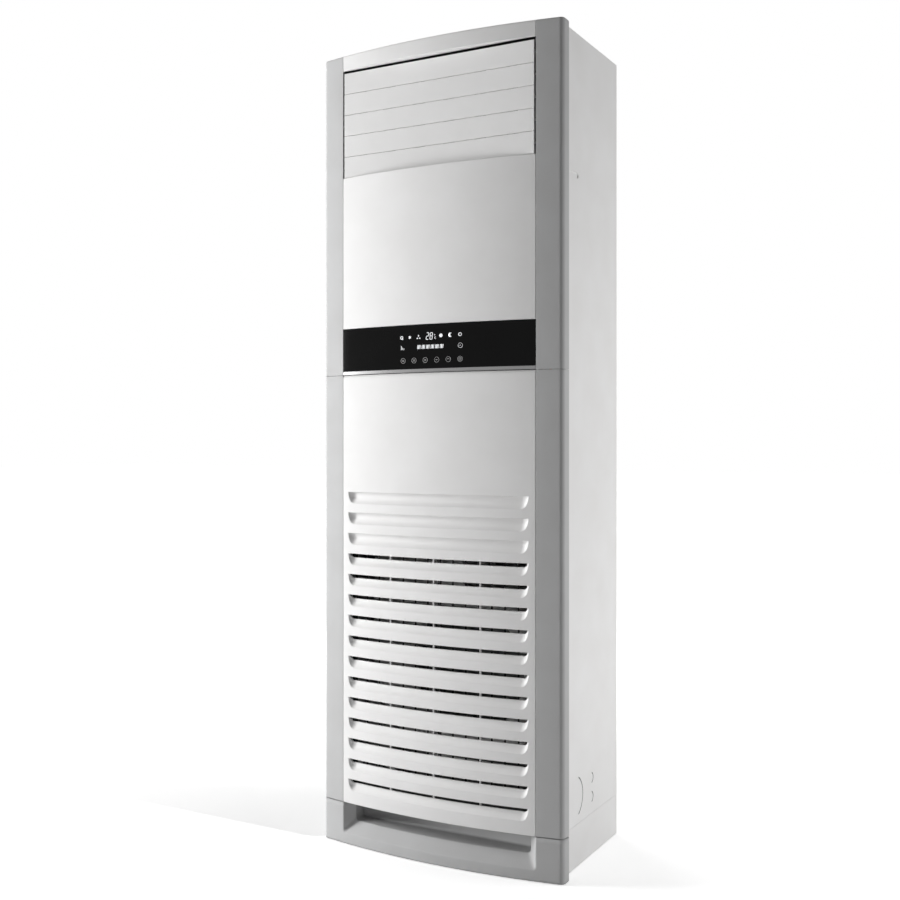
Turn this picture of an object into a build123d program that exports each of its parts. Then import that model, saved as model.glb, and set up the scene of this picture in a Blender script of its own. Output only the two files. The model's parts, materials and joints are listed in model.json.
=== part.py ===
"""Floor standing air conditioner.

The frame: +X to the right seen from the front, +Y to the rear, +Z up, with the
origin on the floor under the middle of the cabinet. All sizes are in millimetres.
The front is one bowed surface, part of an upright cylinder, and every front piece
is cut from it. Depths named "in" are measured from that surface towards the rear.
"""

from build123d import *
from math import cos, radians, sin, sqrt
import os

# ------------------------------------------------------------ overall sizes
HEIGHT = 1840.0
WIDTH = 614.0
DEPTH = 390.0
FRONT_RADIUS = 1610.0
CORNER_RADIUS = 12.0
PILLAR_WIDTH = 60.0
PILLAR_SIDE_DEPTH = 17.66
CABINET_INSET = 16.5

# ------------------------------------------------------------ heights of the front
FLOOR_GAP = 2.0
PLINTH_HEIGHT = 97.0
INTAKE_HEIGHT = 996.5
STRIP_HEIGHT = 8.5
WINDOW_HEIGHT = 99.0
LOUVRE_COUNT = 5
LOUVRE_PITCH = 48.8
LOUVRE_TOP_GAP = 6.0
TRIM_HEIGHT = 36.0

# ------------------------------------------------------------ walls and gaps
PLASTIC = 2.8
SHEET = 1.0
THIN_SHEET = 0.9
FRAME_SHEET = 1.5
SEAM = 0.8
FIT_GAP = 0.4
RUNNING_GAP = 0.08
SIDE_GAP = 0.8
SCREW_HEAD = 1.6

# ------------------------------------------------------------ louvre blades
BLADE_GAP = 0.9
BLADE_WALL = 2.6
BLADE_END_GAP = 1.4
LOUVRE_AXIS_IN = 10.6
BLADE_PIN_R = 3.0
CHEEK = 2.0
CRANK_R = 14.0
CRANK_ANGLE = 45.0
CRANK_PIN_R = 2.0
CRANK_THICK = 3.0
LINK_THICK = 3.0
LINK_WIDTH = 8.0
LOUVRE_MOTOR_R = 10.0
LOUVRE_MOTOR_LENGTH = 16.0
LOUVRE_MOTOR_OFFSET = 6.5
LOUVRE_SHAFT_R = 1.5

# ------------------------------------------------------------ upright vanes
VANE_COUNT = 5
VANE_PITCH = 80.0
VANE_THICK = 1.8
VANE_FRONT = 10.0
VANE_BACK = 44.0
VANE_AXIS_IN = 38.0
VANE_PIN_R = 2.0
VANE_CRANK = 24.0
VANE_CRANK_PIN_R = 1.5
VANE_LINK_THICK = 2.2
VANE_MOTOR_R = 14.0
VANE_MOTOR_LENGTH = 17.0
VANE_SHAFT_R = 1.2
OUTLET_DEPTH = 98.0
OUTLET_TOP_ROOM = 16.0
OUTLET_BOTTOM_ROOM = 5.0

# ------------------------------------------------------------ intake panel
INTAKE_WALL = 3.0
SCOOP_PITCH = 47.7
SCOOP_FIRST_RISE = 57.5
SCOOP_OPEN = 12
SCOOP_BLIND = 3
SCOOP_HEIGHT = 27.0
SCOOP_IN = 10.0
SCOOP_SIDE_ROOM = 16.2
SLOT_HEIGHT = 9.6
SLOT_SIDE_ROOM = 6.0
GRILLE_RIB_X = 115.0
GRILLE_RIB_WIDTH = 2.5
HINGE_IN = 29.0
HINGE_DROP = 4.6
HINGE_PIN_R = 3.0
TOP_CHAMFER_HEIGHT = 5.4
TOP_CHAMFER_IN = 3.0

# ------------------------------------------------------------ filter
FILTER_SIDE_ROOM = 10.2
FILTER_RISE = 39.0
FILTER_HEIGHT = 564.0
FILTER_THICK = 6.0
FILTER_IN = 37.0
FILTER_BORDER = 14.0
FILTER_BAR = 6.0
RAIL_TOP_ROOM = 83.0
NET_THICK = 0.6
NET_COLUMNS = 14
NET_ROWS = 18
NET_STRAND = 4.0
RAIL_LIP = 2.0

# ------------------------------------------------------------ plinth recess
RECESS_LOW = 26.0
RIM_SIDE_ROOM = 21.0
RIM_LOW = 52.0
RIM_IN = 25.0
RECESS_IN = 76.0

# ------------------------------------------------------------ cabinet
POST_WIDTH = 22.0
POST_DEPTH = 24.0
POST_FRONT_IN = 61.0
SKIRT_DROP = 2.0
FOOT_R = 20.0
FOOT_HEIGHT = 8.0
PAN_FLANGE = 30.0
TOP_FLANGE = 15.0
REAR_FLANGE = 18.0
FRONT_FLANGE = 22.0
SCREW_COUNT = 5
SCREW_FIRST = 160.0
SCREW_LAST_DROP = 80.0
SCREW_R = 1.8
HEAD_R = 4.5
INSERT_SPACING = 200.0
INSERT_DROP = 60.0
INSERT_R = 2.6
GLAND_SIDE_ROOM = 59.5
GLAND_Z = 70.0
GLAND_BORE_R = 5.5
GLAND_R = 9.0
BEAD_SIDE_ROOM = 54.1
HOOK_SLOT_IN = 69.5
HOOK_SLOT_DROP = 314.0
HOOK_SLOT_LENGTH = 46.0
HOOK_SLOT_HEIGHT = 11.0
KNOCKOUT_IN = 71.5
KNOCKOUT_RISE = 61.0
KNOCKOUT_R = 46.0
SMALL_KNOCKOUT_IN = 167.5
SMALL_KNOCKOUT_R = 12.0
SMALL_KNOCKOUT_RISES = (38.0, 81.0)
KNOCKOUT_CUT = 0.9

# ------------------------------------------------------------ fan and scroll
SCROLL_LEFT_ROOM = 59.5
SCROLL_RIGHT_ROOM = 69.5
SCROLL_LOW = 190.0
SCROLL_STEP = 18.0
SCROLL_WALL = 2.0
SCROLL_FRONT_ROOM = 48.0
SCROLL_BACK_ROOM = 80.0
TONGUE_R = 15.0
WHEEL_GAP = 23.0
WHEEL_BLADE_DEPTH = 25.0
WHEEL_FRONT_GAP = 12.0
WHEEL_BACK_GAP = 18.0
WHEEL_SHIFT_X = -6.0
WHEEL_SHIFT_Z = 4.0
WHEEL_BLADES = 36
BLADE_SHEET = 1.2
MOUTH_STEP = 7.0
MOUTH_FLARE = 22.0
HUB_R = 22.0
HUB_LENGTH = 32.0
SHAFT_R = 6.0
NUT_R = 10.0
MOTOR_R = 70.0
MOTOR_LENGTH = 58.0
BRACKET_R = 100.0
BRACKET_THICK = 2.0
OUTLET_RISE = 131.0

# ------------------------------------------------------------ coil and water
COIL_SIDE_ROOM = 69.5
COIL_THICK = 60.0
COIL_FRONT_ROOM = 34.7
COIL_BACK_ROOM = 60.7
COIL_RISE = 45.8
COIL_DROP = 29.7
TUBE_R = 4.8
TUBE_PITCH = 26.0
TUBE_END = 6.0
TUBE_END_ROOM = 24.0
DRAIN_DROP = 8.5
DRAIN_HEIGHT = 35.0
DRAIN_DEPTH = 92.0
DRAIN_OVERHANG = 12.0
HOSE_R = 10.0
HOSE_WALL = 2.0
HOSE_SIDE_ROOM = 27.5
HOSE_IN = 65.0
HOSE_LOW = 95.0
CUFF_R = 11.5
CUFF_LENGTH = 30.0
CUFF_EXIT_R = 17.0
GAS_R = 7.94
LIQUID_R = 4.76
PIPE_WALL = 1.0
GAS_SIDE_ROOM = 33.5
LIQUID_SIDE_ROOM = 51.0
PIPE_LOW = 78.0
PIPE_EXIT_ROOM = 16.0
PIPE_SHIFT = 55.0
GAS_TURN = 95.0
LIQUID_TURN = 35.0
NUT_LENGTH = 22.0
STUB_LENGTH = 15.0
CRIMP_LENGTH = 5.0
GAS_STUB_R = 11.1
LIQUID_STUB_R = 7.94

# ------------------------------------------------------------ electrical box
BOX_HALF = 185.0
BOX_RISE = 33.5
BOX_TOP_DROP = 38.5
BOX_FRONT_ROOM = 4.0
BOX_DEPTH = 62.0
BOX_SHEET = 1.2

# ------------------------------------------------------------ display
BOARD_HALF = 115.0
BOARD_THICK = 1.6
KEY_COUNT = 6
KEY_PITCH = 29.1
KEY_RISE = 19.0
KEY_R = 4.0

# ------------------------------------------------------------ places worked out
Y_FRONT = -DEPTH / 2
Y_REAR = DEPTH / 2
HALF_WIDTH = WIDTH / 2
BOW_Y = Y_FRONT + FRONT_RADIUS
CABINET_HALF = HALF_WIDTH - CABINET_INSET
INNER_HALF = CABINET_HALF - SHEET
PILLAR_X = HALF_WIDTH - PILLAR_WIDTH
PANEL_HALF = PILLAR_X - SIDE_GAP
CORNER_X = HALF_WIDTH - CORNER_RADIUS
CORNER_Y = BOW_Y - sqrt((FRONT_RADIUS - CORNER_RADIUS) ** 2 - CORNER_X**2)
PILLAR_BACK = CORNER_Y + PILLAR_SIDE_DEPTH
CABINET_FRONT = PILLAR_BACK + FIT_GAP
SHEET_BACK = Y_REAR - SCREW_HEAD
REAR_PANEL_Y = SHEET_BACK - SHEET - FIT_GAP
INTAKE_TOP = PLINTH_HEIGHT + INTAKE_HEIGHT
STRIP_TOP = INTAKE_TOP + STRIP_HEIGHT
WINDOW_TOP = STRIP_TOP + WINDOW_HEIGHT
TRIM_LOW = HEIGHT - TRIM_HEIGHT
LOUVRE_TOP = TRIM_LOW - LOUVRE_TOP_GAP
LOUVRE_LOW = LOUVRE_TOP - LOUVRE_COUNT * LOUVRE_PITCH
POST_X = INNER_HALF - FIT_GAP - POST_WIDTH
POST_Y = Y_FRONT + POST_FRONT_IN
POST_BACK = POST_Y + POST_DEPTH
CHEEK_OUT = PANEL_HALF
CHEEK_IN = CHEEK_OUT - CHEEK
BLADE_HALF = CHEEK_IN - BLADE_END_GAP
COVER_LOW = HEIGHT - SHEET
SKIRT_TOP = PLINTH_HEIGHT - SKIRT_DROP
SCOOP_HALF = PANEL_HALF - SCOOP_SIDE_ROOM
SLOT_HALF = SCOOP_HALF - SLOT_SIDE_ROOM
FILTER_HALF = PANEL_HALF - FILTER_SIDE_ROOM
FILTER_LOW = PLINTH_HEIGHT + FILTER_RISE
RECESS_HALF = PANEL_HALF - FIT_GAP / 2
RIM_HALF = RECESS_HALF - RIM_SIDE_ROOM
GLAND_X = INNER_HALF - GLAND_SIDE_ROOM
HOOK_SLOT_Y = CABINET_FRONT + HOOK_SLOT_IN
HOOK_SLOT_Z = HEIGHT - HOOK_SLOT_DROP
KNOCKOUT_Y = CABINET_FRONT + KNOCKOUT_IN
KNOCKOUT_Z = SKIRT_TOP + KNOCKOUT_RISE
SMALL_KNOCKOUT_Y = CABINET_FRONT + SMALL_KNOCKOUT_IN
SMALL_KNOCKOUT_Z = [SKIRT_TOP + rise for rise in SMALL_KNOCKOUT_RISES]
SCROLL_LEFT = SCROLL_LEFT_ROOM - INNER_HALF
SCROLL_RIGHT = INNER_HALF - SCROLL_RIGHT_ROOM
SCROLL_R = (SCROLL_RIGHT - SCROLL_LEFT - 3 * SCROLL_STEP) / 2
SCROLL_X = SCROLL_RIGHT - SCROLL_R
SCROLL_Z = SCROLL_LOW + SCROLL_R + SCROLL_STEP
SCROLL_FRONT_Y = POST_BACK + SCROLL_FRONT_ROOM
SCROLL_BACK_Y = REAR_PANEL_Y - SCROLL_BACK_ROOM
SCROLL_WIDTH = SCROLL_BACK_Y - SCROLL_FRONT_Y
WHEEL_R = SCROLL_R - WHEEL_GAP
WHEEL_INNER_R = WHEEL_R - WHEEL_BLADE_DEPTH
WHEEL_WIDTH = SCROLL_WIDTH - WHEEL_FRONT_GAP - WHEEL_BACK_GAP
MOUTH_R = WHEEL_INNER_R - MOUTH_STEP
DECK_Z = SCROLL_Z + SCROLL_R + OUTLET_RISE
DRAIN_LOW = INTAKE_TOP - DRAIN_DROP
DRAIN_FRONT_Y = POST_BACK
DRAIN_BACK_Y = DRAIN_FRONT_Y + DRAIN_DEPTH
COIL_HALF = INNER_HALF - COIL_SIDE_ROOM
DRAIN_HALF = COIL_HALF + DRAIN_OVERHANG
HOSE_X = HOSE_SIDE_ROOM - INNER_HALF
HOSE_Y = DRAIN_FRONT_Y + HOSE_IN
GAS_X = INNER_HALF - GAS_SIDE_ROOM
LIQUID_X = INNER_HALF - LIQUID_SIDE_ROOM


# ------------------------------------------------------------ helpers
def bow_y(x, depth=0.0):
    """Y of the bowed front at x, a given depth in."""
    return BOW_Y - sqrt((FRONT_RADIUS - depth) ** 2 - x**2)


def block(x, y, z, mode=Mode.ADD):
    """A box between two values along each axis."""
    with Locations(((x[0] + x[1]) / 2, (y[0] + y[1]) / 2, (z[0] + z[1]) / 2)):
        Box(abs(x[1] - x[0]), abs(y[1] - y[0]), abs(z[1] - z[0]), mode=mode)


def rod(start, radius, length, direction, mode=Mode.ADD):
    """A round rod from a start point along a direction."""
    with Locations(Plane(origin=start, z_dir=direction)):
        Cylinder(radius, length, align=(Align.CENTER, Align.CENTER, Align.MIN), mode=mode)


def bowed_wall(z, low_x, high_x, outer, inner):
    """Plan of a wall that follows the bowed front between two depths."""
    mid_x = (low_x + high_x) / 2
    with BuildSketch(Plane.XY.offset(z)) as plan:
        with BuildLine():
            front = [(x, bow_y(x, outer)) for x in (low_x, mid_x, high_x)]
            rear = [(x, bow_y(x, inner)) for x in (low_x, mid_x, high_x)]
            ThreePointArc(*front)
            Line(front[2], rear[2])
            ThreePointArc(*rear[::-1])
            Line(rear[0], front[0])
        make_face()
    return plan.sketch


def bowed_block(z, half, outer, back_y):
    """Plan between the bowed front at a depth and a flat back."""
    with BuildSketch(Plane.XY.offset(z)) as plan:
        with BuildLine():
            front = [(x, bow_y(x, outer)) for x in (-half, 0, half)]
            ThreePointArc(*front)
            Polyline(front[2], (half, back_y), (-half, back_y), front[0])
        make_face()
    return plan.sketch


def corner_points(depth):
    """Start, middle and end of the rounded corner at a depth in."""
    reach = FRONT_RADIUS - CORNER_RADIUS
    toward = Vector(CORNER_X / reach, (CORNER_Y - BOW_Y) / reach)
    start = Vector(0, BOW_Y) + toward * (FRONT_RADIUS - depth)
    radius = CORNER_RADIUS - depth
    middle = (toward + Vector(1, 0)).normalized()
    centre = Vector(CORNER_X, CORNER_Y)
    return start, centre + middle * radius, centre + Vector(radius, 0)


def pillar_plan(z, depth, inner_x, back_y):
    """Plan of the right pillar, from its inner edge round the corner."""
    start, middle, end = corner_points(depth)
    mid_x = (inner_x + start.X) / 2
    with BuildSketch(Plane.XY.offset(z)) as plan:
        with BuildLine():
            ThreePointArc((inner_x, bow_y(inner_x, depth)), (mid_x, bow_y(mid_x, depth)), start)
            ThreePointArc(start, middle, end)
            Polyline(end, (end.X, back_y), (inner_x, back_y), (inner_x, bow_y(inner_x, depth)))
        make_face()
    return plan.sketch


def front_plan(z, depth, back_y):
    """Plan of the whole front, corner to corner."""
    start, middle, end = corner_points(depth)
    left = [Vector(-point.X, point.Y) for point in (start, middle, end)]
    with BuildSketch(Plane.XY.offset(z)) as plan:
        with BuildLine():
            ThreePointArc(left[0], (0, bow_y(0, depth)), start)
            ThreePointArc(start, middle, end)
            Polyline(end, (end.X, back_y), (-end.X, back_y), left[2])
            ThreePointArc(left[2], left[1], left[0])
        make_face()
    return plan.sketch


def bow_plane(angle):
    """Upright plane through the bow's axis: local x is depth in, local y is height."""
    start = (FRONT_RADIUS * sin(radians(angle)), BOW_Y - FRONT_RADIUS * cos(radians(angle)), 0)
    inward = (-sin(radians(angle)), cos(radians(angle)), 0)
    return Plane(origin=start, x_dir=inward, z_dir=Vector(inward).cross(Vector(0, 0, 1)))


def bow_sweep(section, half, mode=Mode.ADD):
    """Turn a section of depth and height points about the bow's axis."""
    angle = Vector(half, FRONT_RADIUS).get_angle(Vector(0, 1))
    with BuildSketch(bow_plane(-angle)) as profile:
        with BuildLine():
            Polyline(*section, close=True)
        make_face()
    revolve(profile.sketch, Axis((0, BOW_Y, 0), (0, 0, 1)), 2 * angle, mode=mode)


def keep(builder, name):
    """Label a finished piece and write it."""
    builder.part.label = name
    export_step(builder.part, f"parts/{name}.step")


os.makedirs("parts", exist_ok=True)


# ------------------------------------------------------------ places of the outlet, coil and pipes
OUTLET_TOP = LOUVRE_TOP + OUTLET_TOP_ROOM
OUTLET_LOW = LOUVRE_LOW - OUTLET_BOTTOM_ROOM
OUTLET_FRONT = bow_y(CHEEK_OUT) + 3.0
OUTLET_BACK = OUTLET_FRONT + OUTLET_DEPTH
BLADE_FACE_Y = bow_y(BLADE_HALF)
LOUVRE_Y = BLADE_FACE_Y + LOUVRE_AXIS_IN
VANE_Y = LOUVRE_Y + VANE_AXIS_IN
coil_low = Vector(0, POST_BACK + COIL_FRONT_ROOM, DRAIN_LOW + COIL_RISE)
coil_high = Vector(0, REAR_PANEL_Y - COIL_BACK_ROOM, OUTLET_LOW - COIL_DROP)
along = (coil_high - coil_low).normalized()
COIL_LENGTH = (coil_high - coil_low).length
TUBE_ROWS = int((COIL_LENGTH - 2 * TUBE_END_ROOM) / TUBE_PITCH) + 1
TUBE_REACH = COIL_HALF + TUBE_END
coil_plane = Plane(origin=(coil_low + coil_high) * 0.5, x_dir=along, z_dir=(1, 0, 0))
tube_steps = [(number - (TUBE_ROWS - 1) / 2) * TUBE_PITCH for number in range(TUBE_ROWS)]
liquid_start, gas_start = [
    coil_plane.from_local_coords((tube_steps[0], place, TUBE_REACH + 0.3))
    for place in (TUBE_PITCH / 2, -TUBE_PITCH / 2)
]


def pipe_route(start, x, turn_z):
    """Out of the coil, down, across towards the rear and down to the connection."""
    return [
        start,
        Vector(x, start.Y, start.Z),
        Vector(x, start.Y, turn_z),
        Vector(x, start.Y + PIPE_SHIFT, turn_z - 80),
        Vector(x, start.Y + PIPE_SHIFT, PIPE_LOW),
    ]


gas_route = pipe_route(gas_start, GAS_X, DECK_Z - GAS_TURN)
liquid_route = pipe_route(liquid_start, LIQUID_X, DECK_Z - LIQUID_TURN)

# ------------------------------------------------------------ base
PAN_HALF = INNER_HALF - FIT_GAP
PAN_FRONT = POST_BACK + FIT_GAP
PAN_BACK = REAR_PANEL_Y - THIN_SHEET - FIT_GAP
FOOT_X = PAN_HALF - 2 * FOOT_R
FOOT_SPREAD = PAN_BACK - PAN_FRONT - 4 * FOOT_R
PAN_MID_Y = (PAN_BACK + PAN_FRONT) / 2
HOSE_END_Y = PAN_MID_Y

with BuildPart() as base_pan:
    block((-PAN_HALF, PAN_HALF), (PAN_FRONT, PAN_BACK), (FOOT_HEIGHT, FOOT_HEIGHT + PAN_FLANGE))
    offset(amount=-FRAME_SHEET, openings=base_pan.faces().sort_by(Axis.Z)[-1])
    for side in (-1, 1):
        post_tab = (side * (POST_X - 20), side * PAN_HALF)
        block(post_tab, (POST_Y, PAN_FRONT), (FOOT_HEIGHT, FOOT_HEIGHT + FRAME_SHEET))
    exit_x = (LIQUID_X - PIPE_EXIT_ROOM, GAS_X + PIPE_EXIT_ROOM)
    exit_y = (liquid_route[-1].Y - PIPE_EXIT_ROOM, gas_route[-1].Y + PIPE_EXIT_ROOM)
    block(exit_x, exit_y, (FOOT_HEIGHT - 1, FOOT_HEIGHT + FRAME_SHEET + 1), mode=Mode.SUBTRACT)
    hose_exit = (HOSE_X, HOSE_END_Y, FOOT_HEIGHT - 1)
    rod(hose_exit, CUFF_EXIT_R, FRAME_SHEET + 2, (0, 0, 1), mode=Mode.SUBTRACT)
keep(base_pan, "base_pan")

with BuildPart() as foot_pads:
    with Locations((0, PAN_MID_Y, 0)):
        with GridLocations(2 * FOOT_X, FOOT_SPREAD, 2, 2):
            Cylinder(FOOT_R, FOOT_HEIGHT, align=(Align.CENTER, Align.CENTER, Align.MIN))
keep(foot_pads, "foot_pads")

# ------------------------------------------------------------ posts and rails
POST_LOW = FOOT_HEIGHT + FRAME_SHEET
POST_HIGH = COVER_LOW - FIT_GAP
RAIL_HALF = POST_X - FIT_GAP

with BuildPart() as chassis_posts:
    for side in (-1, 1):
        block(
            (side * POST_X, side * (POST_X + POST_WIDTH)), (POST_Y, POST_BACK), (POST_LOW, POST_HIGH)
        )
        block(
            (side * (POST_X - 1), side * (POST_X + POST_WIDTH - FRAME_SHEET)),
            (POST_Y + FRAME_SHEET, POST_BACK - FRAME_SHEET),
            (POST_LOW - 1, POST_HIGH + 1),
            mode=Mode.SUBTRACT,
        )
keep(chassis_posts, "chassis_posts")

TOP_RAIL_HEIGHT = 18.0
BOTTOM_RAIL_LOW = 40.0
BOTTOM_RAIL_HEIGHT = 55.0
RECESS_BACK_Y = Y_FRONT + RECESS_IN

with BuildPart() as cross_rails:
    block(
        (-RAIL_HALF, RAIL_HALF),
        (POST_Y + FRAME_SHEET, POST_BACK - FRAME_SHEET),
        (POST_HIGH - TOP_RAIL_HEIGHT, POST_HIGH),
    )
    block(
        (-RAIL_HALF, RAIL_HALF),
        (RECESS_BACK_Y + PLASTIC + FIT_GAP, POST_BACK - FRAME_SHEET),
        (BOTTOM_RAIL_LOW, BOTTOM_RAIL_LOW + BOTTOM_RAIL_HEIGHT),
    )
keep(cross_rails, "cross_rails")

HINGE_Y = Y_FRONT + HINGE_IN
HINGE_Z = INTAKE_TOP - HINGE_DROP
EAR_IN = PANEL_HALF + 1.2
EAR_OUT = EAR_IN + 3.0
EAR_FRONT = bow_y(EAR_OUT, PLASTIC) + FIT_GAP
MIDDLE_RAIL_LOW = STRIP_TOP - 4.0
MIDDLE_RAIL_HEIGHT = 30.0
MIDDLE_RAIL_FRONT = POST_Y - 16.0
HOUSING_BACK = MIDDLE_RAIL_FRONT - 4.0

with BuildPart() as middle_rail:
    rail_z = (MIDDLE_RAIL_LOW, MIDDLE_RAIL_LOW + MIDDLE_RAIL_HEIGHT)
    block((-RAIL_HALF, RAIL_HALF), (MIDDLE_RAIL_FRONT, POST_BACK - 4.0), rail_z)
    block(
        (-RAIL_HALF - 1, RAIL_HALF + 1),
        (MIDDLE_RAIL_FRONT + FRAME_SHEET, POST_BACK),
        (rail_z[0] + FRAME_SHEET, rail_z[1] - FRAME_SHEET),
        mode=Mode.SUBTRACT,
    )
    for side in (-1, 1):
        block((side * EAR_IN, side * EAR_OUT), (EAR_FRONT, MIDDLE_RAIL_FRONT + 1), (HINGE_Z - 6, rail_z[1]))
        rod(
            (side * (EAR_IN - 1), HINGE_Y, HINGE_Z),
            HINGE_PIN_R + RUNNING_GAP,
            EAR_OUT - EAR_IN + 2,
            (side, 0, 0),
            mode=Mode.SUBTRACT,
        )
keep(middle_rail, "middle_rail")

# ------------------------------------------------------------ cabinet sheets
SCREW_STEP = (HEIGHT - SCREW_LAST_DROP - SCREW_FIRST) / (SCREW_COUNT - 1)
SCREW_HEIGHTS = [SCREW_FIRST + SCREW_STEP * number for number in range(SCREW_COUNT)]
SCREW_X = INNER_HALF - REAR_FLANGE / 2
SKIRT_SCREW_Z = FLOOR_GAP + 40.0
HOOK_DIMPLE = 2.0


def side_sheet(low_z, high_z):
    """Right-hand sheet with its front and rear flanges."""
    z = (low_z, high_z - SHEET - FIT_GAP)
    block((INNER_HALF, CABINET_HALF), (CABINET_FRONT, SHEET_BACK), (low_z, high_z))
    block((INNER_HALF - FRONT_FLANGE, INNER_HALF), (CABINET_FRONT, CABINET_FRONT + SHEET), z)
    block((INNER_HALF - REAR_FLANGE, INNER_HALF), (SHEET_BACK - SHEET, SHEET_BACK), z)


def screw_holes(heights, x_values, y, depth, radius):
    """Holes along Y through the sheets at the rear."""
    for x in x_values:
        for z in heights:
            rod((x, y - depth / 2, z), radius, depth, (0, 1, 0), mode=Mode.SUBTRACT)


with BuildPart() as side_panel_right:
    side_sheet(SKIRT_TOP + FIT_GAP, HEIGHT)
    with BuildSketch(Plane.YZ.offset(INNER_HALF - HOOK_DIMPLE)):
        with Locations((HOOK_SLOT_Y, HOOK_SLOT_Z)):
            SlotOverall(HOOK_SLOT_LENGTH + 2 * SHEET, HOOK_SLOT_HEIGHT + 2 * SHEET)
    extrude(amount=HOOK_DIMPLE + SHEET / 2)
    with BuildSketch(Plane.YZ.offset(INNER_HALF - HOOK_DIMPLE + SHEET)):
        with Locations((HOOK_SLOT_Y, HOOK_SLOT_Z)):
            SlotOverall(HOOK_SLOT_LENGTH, HOOK_SLOT_HEIGHT)
    extrude(amount=HOOK_DIMPLE + SHEET, mode=Mode.SUBTRACT)
    with BuildSketch(Plane.YZ.offset(INNER_HALF - 1)):
        with BuildLine(mode=Mode.PRIVATE):
            large_arc = CenterArc((KNOCKOUT_Y, KNOCKOUT_Z), KNOCKOUT_R, -62, 124)
            small_arcs = [
                CenterArc((SMALL_KNOCKOUT_Y, z), SMALL_KNOCKOUT_R, -72, 144) for z in SMALL_KNOCKOUT_Z
            ]
        SlotArc(large_arc, KNOCKOUT_CUT)
        for arc in small_arcs:
            SlotArc(arc, KNOCKOUT_CUT)
    extrude(amount=SHEET + 2, mode=Mode.SUBTRACT)
    screw_holes(SCREW_HEIGHTS, (SCREW_X,), SHEET_BACK, 4 * SHEET, SCREW_R + 0.3)
keep(side_panel_right, "side_panel_right")

with BuildPart() as side_panel_left:
    mirror(side_panel_right.part, about=Plane.YZ)
keep(side_panel_left, "side_panel_left")

with BuildPart() as base_skirts:
    side_sheet(FLOOR_GAP, SKIRT_TOP)
    screw_holes((SKIRT_SCREW_Z,), (SCREW_X,), SHEET_BACK, 4 * SHEET, SCREW_R + 0.3)
    mirror(about=Plane.YZ)
keep(base_skirts, "base_skirts")

REAR_HALF = INNER_HALF - FIT_GAP
REAR_LOW = FLOOR_GAP + 10.0
BEAD_HALF = REAR_HALF - BEAD_SIDE_ROOM
BEAD_HEIGHT = 12.0
BEAD_COUNT = 4
BEAD_PITCH = (HEIGHT - REAR_LOW) / (BEAD_COUNT + 1)
INSERT_LENGTH = 6.0

with BuildPart() as rear_panel:
    block((-REAR_HALF, REAR_HALF), (REAR_PANEL_Y - THIN_SHEET, REAR_PANEL_Y), (REAR_LOW, COVER_LOW - FIT_GAP))
    for number in range(1, BEAD_COUNT + 1):
        bead_z = REAR_LOW + number * BEAD_PITCH
        bead_span = (bead_z - BEAD_HEIGHT / 2, bead_z + BEAD_HEIGHT / 2)
        block((-BEAD_HALF, BEAD_HALF), (REAR_PANEL_Y - THIN_SHEET, REAR_PANEL_Y + SHEET), bead_span)
    for x in (-INSERT_SPACING / 2, INSERT_SPACING / 2):
        insert = (x, REAR_PANEL_Y - INSERT_LENGTH, HEIGHT - INSERT_DROP)
        rod(insert, 2 * INSERT_R, INSERT_LENGTH, (0, 1, 0))
        rod(insert, INSERT_R, INSERT_LENGTH + 1, (0, 1, 0), mode=Mode.SUBTRACT)
    rod((GLAND_X, REAR_PANEL_Y - 2, GLAND_Z), GLAND_R + 0.2, 4, (0, 1, 0), mode=Mode.SUBTRACT)
    screw_holes(SCREW_HEIGHTS + [SKIRT_SCREW_Z], (-SCREW_X, SCREW_X), REAR_PANEL_Y, 4, SCREW_R + 0.3)
keep(rear_panel, "rear_panel")

SHANK = 9.0
with BuildPart() as cabinet_screws:
    for x in (-SCREW_X, SCREW_X):
        for z in SCREW_HEIGHTS + [SKIRT_SCREW_Z]:
            rod((x, SHEET_BACK, z), HEAD_R, SCREW_HEAD, (0, 1, 0))
            rod((x, SHEET_BACK - SHANK, z), SCREW_R, SHANK, (0, 1, 0))
            rod((x, Y_REAR - 0.8, z), 1.5, 2, (0, 1, 0), mode=Mode.SUBTRACT)
keep(cabinet_screws, "cabinet_screws")

with BuildPart() as cable_gland:
    flange_y = REAR_PANEL_Y + 0.1
    nut_y = REAR_PANEL_Y - THIN_SHEET - 0.1
    rod((GLAND_X, flange_y, GLAND_Z), GLAND_R + 3, Y_REAR - flange_y, (0, 1, 0))
    rod((GLAND_X, nut_y - 6, GLAND_Z), GLAND_R, flange_y - nut_y + 6, (0, 1, 0))
    with BuildSketch(Plane.XZ.offset(-(nut_y - 5))):
        with Locations((GLAND_X, GLAND_Z)):
            RegularPolygon(GLAND_R + 4, 6)
    extrude(amount=-5)
    rod((GLAND_X, nut_y - 8, GLAND_Z), GLAND_BORE_R, 20, (0, 1, 0), mode=Mode.SUBTRACT)
keep(cable_gland, "cable_gland")

with BuildPart() as top_cover:
    cover_y = (CABINET_FRONT, REAR_PANEL_Y)
    block((-REAR_HALF, REAR_HALF), cover_y, (COVER_LOW, HEIGHT))
    for side in (-1, 1):
        block(
            (side * (REAR_HALF - SHEET), side * REAR_HALF),
            (POST_BACK + FIT_GAP, REAR_PANEL_Y - THIN_SHEET - FIT_GAP),
            (COVER_LOW - TOP_FLANGE, COVER_LOW),
        )
keep(top_cover, "top_cover")

# ------------------------------------------------------------ pillars, plinth, trim
RIB_X = PILLAR_X + 16.0
RIB = 2.0
CAP = 9.0
CAP_ROUND = 5.0


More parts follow.
